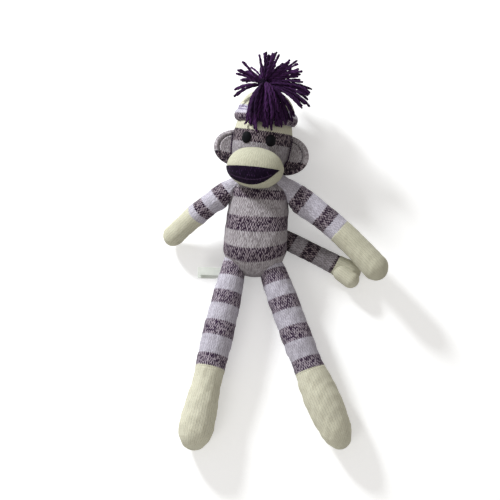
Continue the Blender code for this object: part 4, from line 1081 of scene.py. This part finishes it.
# Label: one blank satin ribbon, folded at the seam of the right hip (the last leg's form). It runs in
# along the upper flap and out again along the under one, whose end lies a little aside; the flaps
# open by an angle and wave a little. Its section is a flat rectangle with soft corners.
label = {"length": 0.032, "width": 0.0112, "tuck": 0.0045, "thick": 0.0005, "opening": 7.0, "slant": 11.0,
         "fold": 0.0004, "along": 0.0294, "low": -0.35, "wave": 0.0006, "waveLong": 0.0085, "underWave": -0.6,
         "aside": 0.004, "rib": 0.0008, "asideFrom": 0.008, "waveFrom": 0.02, "foldShare": 12, "corners": (0.25, 0.5)}
at = np.array(label["along"] / legForm.length)
outward = legForm.sides(at)[0]
outward = outward * (1 if outward[0] < 0 else -1)
radius = legForm.half[0] * float(smoothTable(legForm.wide, at))
upright = np.array((0.0, 0, 1))
edge = legForm.curve(at) + outward * radius * math.sqrt(1 - label["low"] ** 2) + upright * radius * label["low"]
flapWay = around(outward, np.cross(upright, outward), np.radians(label["slant"]))
flapSide = np.cross(upright, flapWay)
t = np.linspace(-1, 1, 90)
reached = np.abs(t) * (label["length"] + label["tuck"]) - label["tuck"]
opened = np.maximum(reached, 0) * math.tan(math.radians(label["opening"] / 2))
rise = np.sign(t) * (label["fold"] * smoothStep(np.abs(t) * label["foldShare"]) + opened)
wave = label["wave"] * np.sin(reached / label["waveLong"]) * smoothStep(reached / label["waveFrom"])
rise = rise + wave * np.where(t > 0, 1, label["underWave"])
aside = np.where(t < 0, label["aside"], 0) * smoothStep(reached / label["asideFrom"])
line = edge + flapWay * reached[:, None] + flapSide * aside[:, None] + upright * rise[:, None]
corner = circle(28)
sectionX, sectionZ = (np.sign(part) * np.abs(part) ** power * size / 2 for part, power, size in zip(
    (np.cos(corner), np.sin(corner)), label["corners"], (label["width"], label["thick"])))
places = line[:, None] + flapSide * sectionX[:, None] + upright * sectionZ[:, None]
along = np.concatenate([[0], np.cumsum(np.linalg.norm(np.diff(line, axis=0), axis=1))])
mesh = tubesMesh("label_ribbon", places, stitchMap(corner, 1, along[:, None], label["rib"]), 1.0)
piece = addPiece(mesh, satinMaterial(), "label", ["label_upper_flap", "label_under_flap"])
print("label done")

# Light and camera
scene.view_settings.view_transform = "Standard"
studio = {"world": 0.42, "worldTint": (1.0, 0.97, 0.93), "key": (-1.05, 1.3, 0.86), "keyTint": (0.95, 0.98, 1.0),
          "keySize": 0.3, "keyPower": 37, "fill": (-0.9, -1.4, 1.5), "fillSize": 1.0, "fillPower": 8,
          "lampAim": (0, 0, 0.03), "floorHalf": 3, "floorHeight": -0.0002, "floorTone": (0.9, 0.9, 0.9),
          "floorGlow": 0.34}


# 1 for rays from the camera, mirrors and glass, 0 for all others
def seenRays(tree):
    rays = node(tree, "ShaderNodeLightPath")
    camera, glossy, glass = (Wire(rays, f"Is {kind} Ray") for kind in ("Camera", "Glossy", "Transmission"))
    return camera.maths("MAXIMUM", glossy.maths("MAXIMUM", glass))


world = bpy.data.worlds.new("studio")
scene.world = world
world.use_nodes = True
background = world.node_tree.nodes["Background"]
seen = seenRays(world.node_tree)
feed(background.inputs["Color"], mixed(seen, studio["worldTint"], (1.0, 1.0, 1.0)))
feed(background.inputs["Strength"], seen * (1 - studio["world"]) + studio["world"])

floorMesh = bpy.data.meshes.new("floor")
half, height = studio["floorHalf"], studio["floorHeight"]
floorMesh.from_pydata([(-half, -half, height), (half, -half, height), (half, half, height), (-half, half, height)],
                      [], [(0, 1, 2, 3)])
floor = bpy.data.objects.new("floor", floorMesh)
scene.collection.objects.link(floor)
floorMaterial, tree, shader = blank("pale floor", 1.0, 0.0)
feed(shader.inputs["Base Color"], studio["floorTone"])
feed(shader.inputs["Emission Color"], (1.0, 1.0, 1.0))
feed(shader.inputs["Emission Strength"], seenRays(tree) * studio["floorGlow"])
floorMesh.materials.append(floorMaterial)


# A round lamp that looks at the doll.
def softLamp(name, tint=(1.0, 1.0, 1.0)):
    lamp = bpy.data.lights.new(name, "AREA")
    lamp.shape, lamp.size, lamp.energy, lamp.color = "DISK", studio[name + "Size"], studio[name + "Power"], tint
    item = bpy.data.objects.new(name, lamp)
    scene.collection.objects.link(item)
    item.location = studio[name]
    item.rotation_euler = (Vector(studio["lampAim"]) - Vector(studio[name])).to_track_quat("-Z", "Y").to_euler()


softLamp("key", studio["keyTint"])
softLamp("fill")

view = {"elevation": math.radians(80), "distance": 4.0, "aim": Vector((-0.00678, 0, 0)), "wide": 0.6775, "near": 0.035}
camera = bpy.data.objects.new("camera", bpy.data.cameras.new("camera"))
scene.collection.objects.link(camera)
scene.camera = camera
outward = Vector((0, -math.cos(view["elevation"]), math.sin(view["elevation"])))
camera.location = view["aim"] + outward * view["distance"]
camera.rotation_euler = (math.pi / 2 - view["elevation"], 0, 0)
camera.data.angle = 2 * math.atan(view["wide"] / 2 / (view["distance"] - view["near"]))
camera.data.clip_end = 50

print("scene ready")
